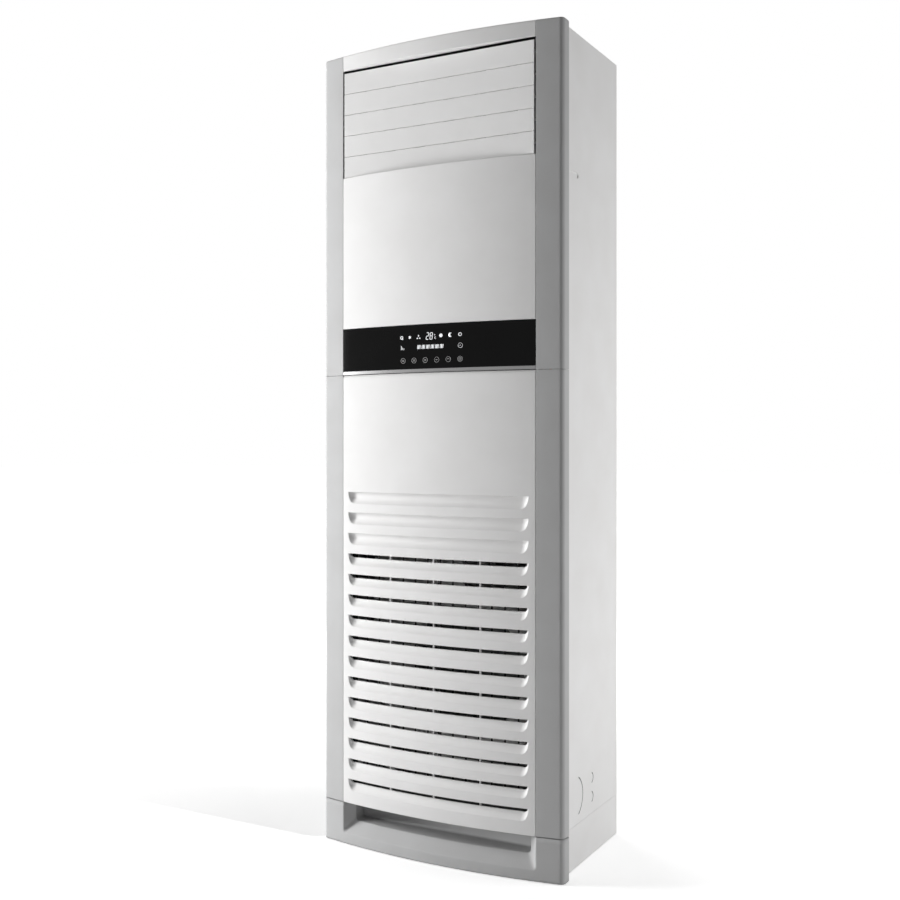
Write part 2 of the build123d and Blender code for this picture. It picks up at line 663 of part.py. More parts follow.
def pillar(low_z, high_z, rib_heights, cap):
    """Right-hand pillar: a skin round the corner, webs and, at the top, a cap."""
    with BuildPart() as shell:
        extrude(pillar_plan(low_z, 0, PILLAR_X, PILLAR_BACK), amount=high_z - low_z)
        inner = pillar_plan(low_z - 1, PLASTIC, PILLAR_X - 1, PILLAR_BACK + 1)
        extrude(inner, amount=high_z - low_z + 2, mode=Mode.SUBTRACT)
        block(
            (CABINET_HALF + 1, HALF_WIDTH - PLASTIC / 2), (PILLAR_BACK - PLASTIC, PILLAR_BACK), (low_z, high_z)
        )
        for z in rib_heights:
            extrude(pillar_plan(z, PLASTIC / 2, RIB_X, PILLAR_BACK), amount=RIB)
        if cap:
            extrude(pillar_plan(high_z - CAP, PLASTIC / 2, PILLAR_X, PILLAR_BACK), amount=CAP)
            top_edges = shell.edges().group_by(Axis.Z)[-1]
            fillet([edge for edge in top_edges if edge.geom_type == GeomType.CIRCLE], CAP_ROUND)
    return shell


upper_ribs = [INTAKE_TOP + 45.0, (INTAKE_TOP + LOUVRE_LOW) / 2, LOUVRE_LOW - 40.0]
lower_ribs = [PLINTH_HEIGHT + INTAKE_HEIGHT * share for share in (0.05, 0.35, 0.65, 0.95)]

pillar_upper_right = pillar(INTAKE_TOP + SEAM / 2, HEIGHT, upper_ribs, True)
keep(pillar_upper_right, "pillar_upper_right")
pillar_lower_right = pillar(PLINTH_HEIGHT + SEAM / 2, INTAKE_TOP - SEAM / 2, lower_ribs, False)
keep(pillar_lower_right, "pillar_lower_right")

with BuildPart() as pillar_upper_left:
    mirror(pillar_upper_right.part, about=Plane.YZ)
keep(pillar_upper_left, "pillar_upper_left")

with BuildPart() as pillar_lower_left:
    mirror(pillar_lower_right.part, about=Plane.YZ)
keep(pillar_lower_left, "pillar_lower_left")

with BuildPart() as top_trim:
    extrude(bowed_wall(TRIM_LOW, -PANEL_HALF, PANEL_HALF, 0, PLASTIC), amount=TRIM_HEIGHT)
    extrude(bowed_block(HEIGHT - PLASTIC, PANEL_HALF, 1, PILLAR_BACK), amount=PLASTIC)
    extrude(bowed_block(TRIM_LOW, PANEL_HALF, 1, OUTLET_FRONT - FIT_GAP), amount=PLASTIC)
keep(top_trim, "top_trim")

PLINTH_TOP = PLINTH_HEIGHT - SEAM / 2


def recess_space(wall, front_in):
    """The finger recess grown by a wall: bevelled floor and ends, flat back."""
    with BuildPart() as space:
        section = [
            (front_in, PLINTH_HEIGHT + 2),
            (front_in, RECESS_LOW - wall + front_in),
            (RIM_IN, RIM_LOW - wall),
            (RECESS_IN + 40, RIM_LOW - wall),
            (RECESS_IN + 40, PLINTH_HEIGHT + 2),
        ]
        bow_sweep(section, HALF_WIDTH)
        rim_y = bow_y(RIM_HALF, RIM_IN)
        wide_y = bow_y(RECESS_HALF)
        flare = (RECESS_HALF - RIM_HALF) / (rim_y - wide_y)
        front_y = Y_FRONT - 2
        front_half = RIM_HALF + wall + flare * (rim_y - front_y)
        back_y = RECESS_BACK_Y + wall
        right = [(front_half, front_y), (RIM_HALF + wall, rim_y), (RIM_HALF + wall, back_y)]
        left = [(-x, y) for x, y in reversed(right)]
        with BuildSketch(Plane.XY):
            with BuildLine():
                Polyline(*right, *left, close=True)
            make_face()
        extrude(amount=PLINTH_TOP if wall else PLINTH_HEIGHT + 2, mode=Mode.INTERSECT)
    return space.part


with BuildPart() as plinth:
    extrude(front_plan(FLOOR_GAP, 0, PILLAR_BACK), amount=PLINTH_TOP - FLOOR_GAP)
    extrude(front_plan(FLOOR_GAP - 1, PLASTIC, PILLAR_BACK + 1), amount=PLINTH_HEIGHT, mode=Mode.SUBTRACT)
    for side in (-1, 1):
        block(
            (side * (CABINET_HALF + 1), side * (HALF_WIDTH - PLASTIC / 2)),
            (PILLAR_BACK - PLASTIC, PILLAR_BACK),
            (FLOOR_GAP, PLINTH_TOP),
        )
    shelf = pillar_plan(PLINTH_TOP - PLASTIC, PLASTIC / 2, PILLAR_X, PILLAR_BACK)
    extrude(shelf, amount=PLASTIC)
    extrude(mirror(shelf, about=Plane.YZ, mode=Mode.PRIVATE), amount=PLASTIC)
    add(recess_space(PLASTIC, PLASTIC / 2))
    add(recess_space(0, -2), mode=Mode.SUBTRACT)
keep(plinth, "plinth")

# ------------------------------------------------------------ upper front panel
UPPER_LOW = WINDOW_TOP + SEAM / 2
UPPER_TOP = LOUVRE_LOW - SEAM / 2
PANEL_FLANGE_IN = 18.0
SIDE_FLANGE_BACK = bow_y(PANEL_HALF) + 16.0
COVER_FACE_Y = MIDDLE_RAIL_FRONT

with BuildPart() as upper_front_panel:
    extrude(bowed_wall(UPPER_LOW, -PANEL_HALF, PANEL_HALF, 0, INTAKE_WALL), amount=UPPER_TOP - UPPER_LOW)
    for z in (UPPER_LOW, UPPER_TOP - PLASTIC):
        extrude(bowed_wall(z, -PANEL_HALF, PANEL_HALF, 1, PANEL_FLANGE_IN), amount=PLASTIC)
    for side in (-1, 1):
        side_x = (side * (PANEL_HALF - PLASTIC), side * PANEL_HALF)
        block(side_x, (bow_y(PANEL_HALF, 1), SIDE_FLANGE_BACK), (UPPER_LOW, UPPER_TOP))
    for x in (-180, 180):
        for z in (UPPER_LOW + 60, UPPER_TOP - 60):
            start_y = bow_y(x, INTAKE_WALL / 2)
            rod((x, start_y, z), 5, COVER_FACE_Y - FIT_GAP - start_y, (0, 1, 0))
keep(upper_front_panel, "upper_front_panel")

# ------------------------------------------------------------ display
WINDOW_LOW = STRIP_TOP + FIT_GAP / 2
WINDOW_IN = 3.0
HOUSING_WALL = 2.4
HOUSING_FRONT_IN = WINDOW_IN + FIT_GAP
STRIP_IN = 0.8
KEY_Z = STRIP_TOP + KEY_RISE
BOARD_FRONT = Y_FRONT + 23.0

with BuildPart() as display_window:
    window = bowed_wall(WINDOW_LOW, -PANEL_HALF, PANEL_HALF, 0, WINDOW_IN)
    extrude(window, amount=WINDOW_TOP - SEAM / 2 - WINDOW_LOW)
keep(display_window, "display_window")

with BuildPart() as chrome_strip:
    strip = bowed_wall(INTAKE_TOP + SEAM, -PANEL_HALF, PANEL_HALF, 0, STRIP_IN)
    extrude(strip, amount=STRIP_HEIGHT - SEAM - FIT_GAP / 2)
keep(chrome_strip, "chrome_strip")

with BuildPart() as display_housing:
    housing_low = WINDOW_LOW + 2.0
    housing_top = WINDOW_TOP - 2.0
    extrude(
        bowed_block(housing_low, CHEEK_IN, HOUSING_FRONT_IN, HOUSING_BACK), amount=housing_top - housing_low
    )
    extrude(
        bowed_block(
            housing_low + HOUSING_WALL, CHEEK_IN - HOUSING_WALL, HOUSING_FRONT_IN - 1, HOUSING_BACK - HOUSING_WALL
        ),
        amount=housing_top - housing_low - 2 * HOUSING_WALL,
        mode=Mode.SUBTRACT,
    )
    for x in (-150, 150):
        rod((x, HOUSING_BACK - 1, MIDDLE_RAIL_LOW + 15), 6, 1 + MIDDLE_RAIL_FRONT - HOUSING_BACK - 0.3, (0, 1, 0))
keep(display_housing, "display_housing")

with BuildPart() as display_board:
    board_low = STRIP_TOP + 9
    board_high = WINDOW_TOP - 8
    block((-BOARD_HALF, BOARD_HALF), (BOARD_FRONT, BOARD_FRONT + BOARD_THICK), (board_low, board_high))
    lamp_front = bow_y(82, WINDOW_IN) + FIT_GAP
    block((-82, 82), (lamp_front, BOARD_FRONT), (WINDOW_TOP - 62, WINDOW_TOP - 14))
    for number in range(KEY_COUNT):
        key_x = (number - (KEY_COUNT - 1) / 2) * KEY_PITCH
        key_front = bow_y(key_x, WINDOW_IN) + FIT_GAP
        rod((key_x, key_front, KEY_Z), KEY_R, BOARD_FRONT - key_front, (0, 1, 0))
    for x in (-BOARD_HALF + 8, BOARD_HALF - 8):
        for z in (board_low + 8, board_high - 8):
            board_back = BOARD_FRONT + BOARD_THICK
            rod((x, board_back, z), 3, HOUSING_BACK - HOUSING_WALL - 0.3 - board_back, (0, 1, 0))
keep(display_board, "display_board")

# ------------------------------------------------------------ intake panel
INTAKE_LOW = PLINTH_HEIGHT + SEAM
INTAKE_HIGH = INTAKE_TOP - SEAM / 2
FILTER_FRONT = Y_FRONT + FILTER_IN
FILTER_BACK = FILTER_FRONT + FILTER_THICK
RAIL_HIGH = INTAKE_HIGH - RAIL_TOP_ROOM
RAIL_IN = FILTER_HALF - 5.0
RAIL_OUT = FILTER_HALF + 2.0
scoop_tops = [PLINTH_HEIGHT + SCOOP_FIRST_RISE + SCOOP_PITCH * number for number in range(SCOOP_OPEN + SCOOP_BLIND)]

with BuildPart() as intake_panel:
    skin = bowed_wall(INTAKE_LOW, -PANEL_HALF, PANEL_HALF, 0, INTAKE_WALL)
    extrude(skin, amount=INTAKE_HIGH - INTAKE_LOW)
    for z in (INTAKE_LOW, INTAKE_HIGH - PLASTIC):
        extrude(bowed_wall(z, -PANEL_HALF, PANEL_HALF, 1, PANEL_FLANGE_IN), amount=PLASTIC)
    for side in (-1, 1):
        side_x = (side * (PANEL_HALF - PLASTIC), side * PANEL_HALF)
        block(side_x, (bow_y(PANEL_HALF, 1), HINGE_Y + 6), (INTAKE_LOW, INTAKE_HIGH))
    for top in scoop_tops:
        hood = [
            (1, top + INTAKE_WALL),
            (SCOOP_IN + INTAKE_WALL, top + INTAKE_WALL),
            (SCOOP_IN + INTAKE_WALL, top - SLOT_HEIGHT - 2),
            (1, top - SCOOP_HEIGHT - INTAKE_WALL),
        ]
        bow_sweep(hood, SCOOP_HALF + PLASTIC)
    for top in scoop_tops:
        hollow = [
            (-1, top),
            (SCOOP_IN, top),
            (SCOOP_IN, top - SLOT_HEIGHT),
            (-1, top - SCOOP_HEIGHT),
        ]
        bow_sweep(hollow, SCOOP_HALF, mode=Mode.SUBTRACT)
    for top in scoop_tops[:SCOOP_OPEN]:
        slot = [
            (SCOOP_IN - 1, top),
            (SCOOP_IN + INTAKE_WALL + 1, top),
            (SCOOP_IN + INTAKE_WALL + 1, top - SLOT_HEIGHT),
            (SCOOP_IN - 1, top - SLOT_HEIGHT),
        ]
        bow_sweep(slot, SLOT_HALF, mode=Mode.SUBTRACT)
    chamfer_cut = [
        (-1, INTAKE_HIGH + 1),
        (TOP_CHAMFER_IN, INTAKE_HIGH + 1),
        (TOP_CHAMFER_IN, INTAKE_HIGH),
        (0, INTAKE_HIGH - TOP_CHAMFER_HEIGHT),
        (-1, INTAKE_HIGH - TOP_CHAMFER_HEIGHT),
    ]
    bow_sweep(chamfer_cut, HALF_WIDTH, mode=Mode.SUBTRACT)
    for x in (-GRILLE_RIB_X, 0, GRILLE_RIB_X):
        rib_x = (x - GRILLE_RIB_WIDTH / 2, x + GRILLE_RIB_WIDTH / 2)
        rib_y = (bow_y(x, SCOOP_IN + 1), bow_y(x, SCOOP_IN + INTAKE_WALL + 5))
        block(rib_x, rib_y, (scoop_tops[0] - 12, scoop_tops[SCOOP_OPEN - 1] + 8))
    for side in (-1, 1):
        rail_z = (FILTER_LOW - 3, RAIL_HIGH)
        web_front = bow_y(RAIL_OUT, 1)
        block((side * RAIL_OUT, side * (RAIL_OUT + RAIL_LIP)), (web_front, FILTER_BACK + 2.6), rail_z)
        lip_x = (side * RAIL_IN, side * (RAIL_OUT + 0.5))
        block(lip_x, (FILTER_FRONT - FIT_GAP - RAIL_LIP, FILTER_FRONT - FIT_GAP), rail_z)
        block(lip_x, (FILTER_BACK + FIT_GAP, FILTER_BACK + FIT_GAP + RAIL_LIP), rail_z)
        ledge_y = (FILTER_FRONT - FIT_GAP - 1, FILTER_BACK + FIT_GAP + 1)
        block(lip_x, ledge_y, (FILTER_LOW - 3, FILTER_LOW - FIT_GAP))
        rod(
            (side * (PANEL_HALF - 1), HINGE_Y, HINGE_Z), HINGE_PIN_R, EAR_OUT - PANEL_HALF + 1.5, (side, 0, 0)
        )
keep(intake_panel, "intake_panel")

# ------------------------------------------------------------ filter
FILTER_TOP = FILTER_LOW + FILTER_HEIGHT
WINDOW_X = (-FILTER_HALF + FILTER_BORDER, -FILTER_BAR / 2)
FILTER_MID = (FILTER_LOW + FILTER_TOP) / 2

with BuildPart() as filter_frame:
    block((-FILTER_HALF, FILTER_HALF), (FILTER_FRONT, FILTER_BACK), (FILTER_LOW, FILTER_TOP))
    window_height = (FILTER_HEIGHT - 2 * FILTER_BORDER - FILTER_BAR) / 2
    window_width = (2 * FILTER_HALF - 2 * FILTER_BORDER - FILTER_BAR) / 2
    with Locations((0, (FILTER_FRONT + FILTER_BACK) / 2, FILTER_MID)):
        with Locations(*[
            (x * (window_width + FILTER_BAR) / 2, 0, z * (window_height + FILTER_BAR) / 2)
            for x in (-1, 1)
            for z in (-1, 1)
        ]):
            Box(window_width, FILTER_THICK + 2, window_height, mode=Mode.SUBTRACT)
keep(filter_frame, "filter_frame")

NET_HALF = RAIL_IN - 2.0
NET_HEIGHT = FILTER_HEIGHT - 16.0
with BuildPart() as filter_net:
    with BuildSketch(Plane.XZ.offset(-(FILTER_BACK + 0.1))):
        with Locations((0, FILTER_MID)):
            Rectangle(2 * NET_HALF, NET_HEIGHT)
            cell_x = (2 * NET_HALF - NET_STRAND) / NET_COLUMNS
            cell_z = (NET_HEIGHT - NET_STRAND) / NET_ROWS
            with GridLocations(cell_x, cell_z, NET_COLUMNS, NET_ROWS):
                Rectangle(cell_x - NET_STRAND, cell_z - NET_STRAND, mode=Mode.SUBTRACT)
    extrude(amount=-NET_THICK)
keep(filter_net, "filter_net")

# ------------------------------------------------------------ outlet frame
TAB_Y = (POST_BACK + FIT_GAP, POST_BACK + FIT_GAP + 2.0)
vane_places = [(number - (VANE_COUNT - 1) / 2) * VANE_PITCH for number in range(VANE_COUNT)]
blade_axes = [LOUVRE_TOP - LOUVRE_PITCH * (number + 0.5) for number in range(LOUVRE_COUNT)]
MASTER_BLADE = LOUVRE_COUNT // 2
MASTER_VANE = VANE_COUNT // 2
MOTOR_FACE = CHEEK_OUT + 3.2
MOTOR_EAR = 9.0 + LOUVRE_MOTOR_R

with BuildPart() as outlet_frame:
    for side in (-1, 1):
        cheek_x = (side * CHEEK_IN, side * CHEEK_OUT)
        block(cheek_x, (OUTLET_FRONT, OUTLET_BACK), (OUTLET_LOW - CHEEK, OUTLET_TOP + CHEEK))
        tab_x = (side * (CHEEK_OUT - 1), side * (POST_X + POST_WIDTH - 6))
        block(tab_x, TAB_Y, (OUTLET_LOW + 20, OUTLET_TOP - 25))
    plate_y = (LOUVRE_Y + 2, OUTLET_BACK)
    block((-CHEEK_OUT + 1, CHEEK_OUT - 1), plate_y, (OUTLET_TOP, OUTLET_TOP + CHEEK))
    block((-CHEEK_OUT + 1, CHEEK_OUT - 1), plate_y, (OUTLET_LOW - CHEEK, OUTLET_LOW))
    for side in (-1, 1):
        corner_x = (side * (PANEL_HALF - max(PLASTIC, CHEEK) - FIT_GAP), side * (CHEEK_OUT + 1))
        corner_y = (OUTLET_FRONT - 1, bow_y(PANEL_HALF, PANEL_FLANGE_IN) + FIT_GAP)
        block(corner_x, corner_y, (OUTLET_LOW - CHEEK - 1, LOUVRE_LOW), mode=Mode.SUBTRACT)
    for z in blade_axes:
        slot_z = (z - BLADE_PIN_R - RUNNING_GAP, z + BLADE_PIN_R + RUNNING_GAP)
        block((-CHEEK_OUT - 1, CHEEK_OUT + 1), (OUTLET_FRONT - 1, LOUVRE_Y), slot_z, mode=Mode.SUBTRACT)
        for side in (-1, 1):
            rod(
                (side * (CHEEK_IN - 1), LOUVRE_Y, z),
                BLADE_PIN_R + RUNNING_GAP,
                CHEEK + 2,
                (side, 0, 0),
                mode=Mode.SUBTRACT,
            )
    for x in vane_places:
        rod(
            (x, VANE_Y, OUTLET_LOW - CHEEK - 1),
            VANE_PIN_R + RUNNING_GAP,
            OUTLET_TOP - OUTLET_LOW + 2 * CHEEK + 2,
            (0, 0, 1),
            mode=Mode.SUBTRACT,
        )
    for rise in (-MOTOR_EAR, MOTOR_EAR):
        boss = (-CHEEK_OUT + 1, LOUVRE_Y + LOUVRE_MOTOR_OFFSET, blade_axes[MASTER_BLADE] + rise)
        rod(boss, 2.5, MOTOR_FACE - 0.1 - CHEEK_OUT + 1, (-1, 0, 0))
keep(outlet_frame, "outlet_frame")

# ------------------------------------------------------------ louvre blades, link, motor
LEVER_IN = CHEEK_OUT + 2.8
LEVER_OUT = LEVER_IN + CRANK_THICK
LINK_IN = LEVER_OUT + 1.5
LINK_OUT = LINK_IN + LINK_THICK
CRANK_Y = LOUVRE_Y + CRANK_R * cos(radians(CRANK_ANGLE))
CRANK_RISE = CRANK_R * sin(radians(CRANK_ANGLE))
EAR_PLATE = 3.0
BLADE_EAR_X = BLADE_HALF - 2.0
BLADE_BACK_Y = BLADE_FACE_Y + BLADE_WALL

for number, axis_z in enumerate(blade_axes):
    with BuildPart() as louvre_blade:
        blade_low = axis_z - LOUVRE_PITCH / 2 + BLADE_GAP / 2
        blade_high = blade_low + LOUVRE_PITCH - BLADE_GAP
        block((-BLADE_HALF, BLADE_HALF), (BLADE_FACE_Y, BLADE_BACK_Y), (blade_low, blade_high))
        stiffener_x = (-BLADE_HALF + 8, BLADE_HALF - 8)
        block(stiffener_x, (BLADE_BACK_Y - 1, BLADE_BACK_Y + 5), (axis_z - 1, axis_z + 1))
        for side in (-1, 1):
            ear_x = (side * (BLADE_EAR_X - EAR_PLATE), side * BLADE_EAR_X)
            block(ear_x, (BLADE_BACK_Y - 1, LOUVRE_Y), (axis_z - 5, axis_z + 5))
            rod((ear_x[0], LOUVRE_Y, axis_z), 5, EAR_PLATE, (side, 0, 0))
        rod((BLADE_EAR_X - 1, LOUVRE_Y, axis_z), BLADE_PIN_R, LEVER_OUT - BLADE_EAR_X + 1, (1, 0, 0))
        left_end = MOTOR_FACE - 1.0
        rod((-BLADE_EAR_X + 1, LOUVRE_Y, axis_z), BLADE_PIN_R, left_end - BLADE_EAR_X + 1, (-1, 0, 0))
        with BuildSketch(Plane.YZ.offset(LEVER_IN)):
            with Locations(Location((LOUVRE_Y, axis_z), CRANK_ANGLE)):
                with Locations((CRANK_R / 2, 0)):
                    SlotCenterToCenter(CRANK_R, 2 * (BLADE_PIN_R + 1.5))
        extrude(amount=CRANK_THICK)
        rod((LEVER_OUT - 1, CRANK_Y, axis_z + CRANK_RISE), CRANK_PIN_R, LINK_OUT - LEVER_OUT + 2.5, (1, 0, 0))
        if number == MASTER_BLADE:
            socket = (-left_end - 1, LOUVRE_Y, axis_z)
            rod(socket, LOUVRE_SHAFT_R + RUNNING_GAP, 8, (1, 0, 0), mode=Mode.SUBTRACT)
    keep(louvre_blade, f"louvre_blade_{number + 1}")

with BuildPart() as louvre_link:
    link_y = (CRANK_Y - LINK_WIDTH / 2, CRANK_Y + LINK_WIDTH / 2)
    link_z = (blade_axes[-1] + CRANK_RISE - 6, blade_axes[0] + CRANK_RISE + 6)
    block((LINK_IN, LINK_OUT), link_y, link_z)
    for number, axis_z in enumerate(blade_axes):
        hole = CRANK_PIN_R + (RUNNING_GAP if number == MASTER_BLADE else 2 * RUNNING_GAP)
        start = (LINK_IN - 1, CRANK_Y, axis_z + CRANK_RISE)
        rod(start, hole, LINK_THICK + 2, (1, 0, 0), mode=Mode.SUBTRACT)
keep(louvre_link, "louvre_link")

with BuildPart() as louvre_motor:
    motor_z = blade_axes[MASTER_BLADE]
    can_y = LOUVRE_Y + LOUVRE_MOTOR_OFFSET
    rod((-MOTOR_FACE, can_y, motor_z), LOUVRE_MOTOR_R, LOUVRE_MOTOR_LENGTH, (-1, 0, 0))
    with BuildSketch(Plane.YZ.offset(-MOTOR_FACE - 0.8)):
        with Locations((can_y, motor_z)):
            SlotCenterToCenter(2 * MOTOR_EAR, 6, rotation=90)
    extrude(amount=0.8)
    rod((-MOTOR_FACE - 1, LOUVRE_Y, motor_z), LOUVRE_SHAFT_R, 6.5, (1, 0, 0))
keep(louvre_motor, "louvre_motor")

# ------------------------------------------------------------ upright vanes, link, motor
VANE_LOW = OUTLET_LOW + 7.0
VANE_HIGH = OUTLET_TOP - 8.0
VANE_LINK_LOW = OUTLET_LOW + 2.2
SPINE_R = 3.0

for number, x in enumerate(vane_places):
    with BuildPart() as vane:
        blade_y = (VANE_Y - VANE_FRONT, VANE_Y + VANE_BACK)
        block((x - VANE_THICK / 2, x + VANE_THICK / 2), blade_y, (VANE_LOW, VANE_HIGH))
        rod((x, VANE_Y, VANE_LOW), SPINE_R, VANE_HIGH - VANE_LOW, (0, 0, 1))
        pin_low = OUTLET_LOW - CHEEK + 0.4
        rod((x, VANE_Y, pin_low), VANE_PIN_R, OUTLET_TOP + CHEEK - pin_low, (0, 0, 1))
        crank_low = VANE_LINK_LOW - 0.8
        rod((x, VANE_Y + VANE_CRANK, crank_low), VANE_CRANK_PIN_R, VANE_LOW + 4 - crank_low, (0, 0, 1))
        if number == MASTER_VANE:
            rod((x, VANE_Y, pin_low - 1), VANE_SHAFT_R + RUNNING_GAP, 7, (0, 0, 1), mode=Mode.SUBTRACT)
    keep(vane, f"vane_{number + 1}")

with BuildPart() as vane_link:
    link_half = vane_places[-1] + 6
    link_y = (VANE_Y + VANE_CRANK - 3.5, VANE_Y + VANE_CRANK + 3.5)
    block((-link_half, link_half), link_y, (VANE_LINK_LOW, VANE_LINK_LOW + VANE_LINK_THICK))
    for number, x in enumerate(vane_places):
        hole = VANE_CRANK_PIN_R + (RUNNING_GAP if number == MASTER_VANE else 2 * RUNNING_GAP)
        start = (x, VANE_Y + VANE_CRANK, VANE_LINK_LOW - 1)
        rod(start, hole, VANE_LINK_THICK + 2, (0, 0, 1), mode=Mode.SUBTRACT)
keep(vane_link, "vane_link")

with BuildPart() as vane_motor:
    vane_x = vane_places[MASTER_VANE]
    motor_top = OUTLET_LOW - CHEEK - 0.1
    rod((vane_x, VANE_Y, motor_top), VANE_MOTOR_R, VANE_MOTOR_LENGTH, (0, 0, -1))
    with BuildSketch(Plane.XY.offset(motor_top - 0.8)):
        with Locations((vane_x, VANE_Y)):
            SlotCenterToCenter(2 * VANE_MOTOR_R + 8, 7)
    extrude(amount=0.8)
    rod((vane_x, VANE_Y, motor_top - 1), VANE_SHAFT_R, 6, (0, 0, 1))
keep(vane_motor, "vane_motor")

# ------------------------------------------------------------ coil cover and foam
COIL_COVER_LOW = MIDDLE_RAIL_LOW + MIDDLE_RAIL_HEIGHT + FIT_GAP
COIL_COVER_HIGH = OUTLET_LOW - CHEEK - FIT_GAP
COIL_COVER_HALF = PANEL_HALF + 4.0

with BuildPart() as coil_cover:
    cover_z = (COIL_COVER_LOW, COIL_COVER_HIGH)
    block((-COIL_COVER_HALF, COIL_COVER_HALF), (COVER_FACE_Y, COVER_FACE_Y + SHEET), cover_z)
    for side in (-1, 1):
        wall_x = (side * (COIL_COVER_HALF - SHEET), side * COIL_COVER_HALF)
        flange_y = (POST_Y - FIT_GAP - SHEET, POST_Y - FIT_GAP)
        block(wall_x, (COVER_FACE_Y, flange_y[1]), cover_z)
        block((side * (COIL_COVER_HALF - SHEET), side * (POST_X + 8)), flange_y, cover_z)
keep(coil_cover, "coil_cover")

FOAM_LOW = COIL_COVER_LOW
FOAM_HIGH = COIL_COVER_HIGH - 40.0
FOAM_LEFT = 40.0
FOAM_RIGHT = 16.0

with BuildPart() as insulation_panels:
    foam_y = (POST_BACK + FIT_GAP, SHEET_BACK - SHANK - FIT_GAP)
    for x in (
        (-INNER_HALF + FIT_GAP, -INNER_HALF + FIT_GAP + FOAM_LEFT),
        (INNER_HALF - FIT_GAP - FOAM_RIGHT, INNER_HALF - FIT_GAP),
    ):
        block(x, foam_y, (FOAM_LOW, FOAM_HIGH))
keep(insulation_panels, "insulation_panels")

# ------------------------------------------------------------ evaporator coil
TUBE_PLATE = 1.2
PLATE_GAP = 0.2
TUBE_HOLE_R = TUBE_R + 0.15

with BuildPart() as evaporator_fins:
    with BuildSketch(coil_plane.offset(-COIL_HALF)):
        Rectangle(COIL_LENGTH, COIL_THICK)
        with GridLocations(TUBE_PITCH, TUBE_PITCH, TUBE_ROWS, 2):
            Circle(TUBE_HOLE_R, mode=Mode.SUBTRACT)
    extrude(amount=2 * COIL_HALF)
keep(evaporator_fins, "evaporator_fins")

TAB_LENGTH = 28.0
tab_centre = coil_plane.origin + along * (COIL_LENGTH / 2 - 6)
with BuildPart() as tube_plates:
    with BuildSketch(coil_plane.offset(COIL_HALF + PLATE_GAP)):
        Rectangle(COIL_LENGTH + 6, COIL_THICK + 6)
        with GridLocations(TUBE_PITCH, TUBE_PITCH, TUBE_ROWS, 2):
            Circle(TUBE_HOLE_R, mode=Mode.SUBTRACT)
    extrude(amount=TUBE_PLATE)
    block(
        (COIL_HALF + PLATE_GAP, INNER_HALF - FIT_GAP),
        (tab_centre.Y - TAB_LENGTH / 2, tab_centre.Y + TAB_LENGTH / 2),
        (tab_centre.Z, tab_centre.Z + FRAME_SHEET),
    )
    mirror(about=Plane.YZ)
keep(tube_plates, "tube_plates")


def return_bend(place_along, place_across, side, step):
    """Half ring that joins two tube ends, one step apart."""
    centre = coil_plane.from_local_coords((place_along, place_across, side * TUBE_REACH))
    with BuildSketch(Plane(origin=centre + step * (TUBE_PITCH / 2), z_dir=(1, 0, 0))) as end:
        Circle(TUBE_R)
    revolve(end.sketch, Axis(centre, step.cross(Vector(side, 0, 0))), 180)


with BuildPart() as evaporator_tubes:
    with BuildSketch(coil_plane.offset(-TUBE_REACH)):
        with GridLocations(TUBE_PITCH, TUBE_PITCH, TUBE_ROWS, 2):
            Circle(TUBE_R)
    extrude(amount=2 * TUBE_REACH)
    for across_place in (-TUBE_PITCH / 2, TUBE_PITCH / 2):
        for number in range(TUBE_ROWS - 1):
            bend_side = -1 if number % 2 == 0 else 1
            bend_place = (tube_steps[number] + tube_steps[number + 1]) / 2
            return_bend(bend_place, across_place, bend_side, along)
    crossing_side = 1 if TUBE_ROWS % 2 == 0 else -1
    return_bend(tube_steps[-1], 0, crossing_side, coil_plane.y_dir)
keep(evaporator_tubes, "evaporator_tubes")

# ------------------------------------------------------------ drain pan and hose
SPIGOT_LENGTH = 20.0
SPIGOT_X = -DRAIN_HALF + 16.0

with BuildPart() as drain_pan:
    pan_z = (DRAIN_LOW, DRAIN_LOW + DRAIN_HEIGHT)
    block((-DRAIN_HALF, DRAIN_HALF), (DRAIN_FRONT_Y, DRAIN_BACK_Y), pan_z)
    offset(amount=-PLASTIC, openings=drain_pan.faces().sort_by(Axis.Z)[-1])
    rod((SPIGOT_X, HOSE_Y, DRAIN_LOW + 1), HOSE_R - HOSE_WALL - 0.1, SPIGOT_LENGTH, (0, 0, -1))
    spigot_bore = HOSE_R - HOSE_WALL - 2
    rod((SPIGOT_X, HOSE_Y, DRAIN_LOW + 5), spigot_bore, SPIGOT_LENGTH + 10, (0, 0, -1), mode=Mode.SUBTRACT)
keep(drain_pan, "drain_pan")

hose_top = DRAIN_LOW - 0.4
hose_route = [
    (SPIGOT_X, HOSE_Y, hose_top),
    (SPIGOT_X, HOSE_Y, hose_top - 80),
    (HOSE_X, HOSE_END_Y, hose_top - 200),
    (HOSE_X, HOSE_END_Y, HOSE_LOW),
]
with BuildPart() as drain_hose:
    with BuildLine():
        FilletPolyline(*hose_route, radius=60)
    with BuildSketch(Plane(origin=hose_route[0], z_dir=(0, 0, -1))):
        Circle(HOSE_R)
        Circle(HOSE_R - HOSE_WALL, mode=Mode.SUBTRACT)
    sweep()
    rod(hose_route[-1], CUFF_R, CUFF_LENGTH, (0, 0, -1))
    rod((HOSE_X, HOSE_END_Y, HOSE_LOW + 1), HOSE_R - HOSE_WALL, CUFF_LENGTH + 2, (0, 0, -1), mode=Mode.SUBTRACT)
keep(drain_hose, "drain_hose")

# ------------------------------------------------------------ refrigerant pipes
GAS_BEND = 24.0
LIQUID_BEND = 11.0


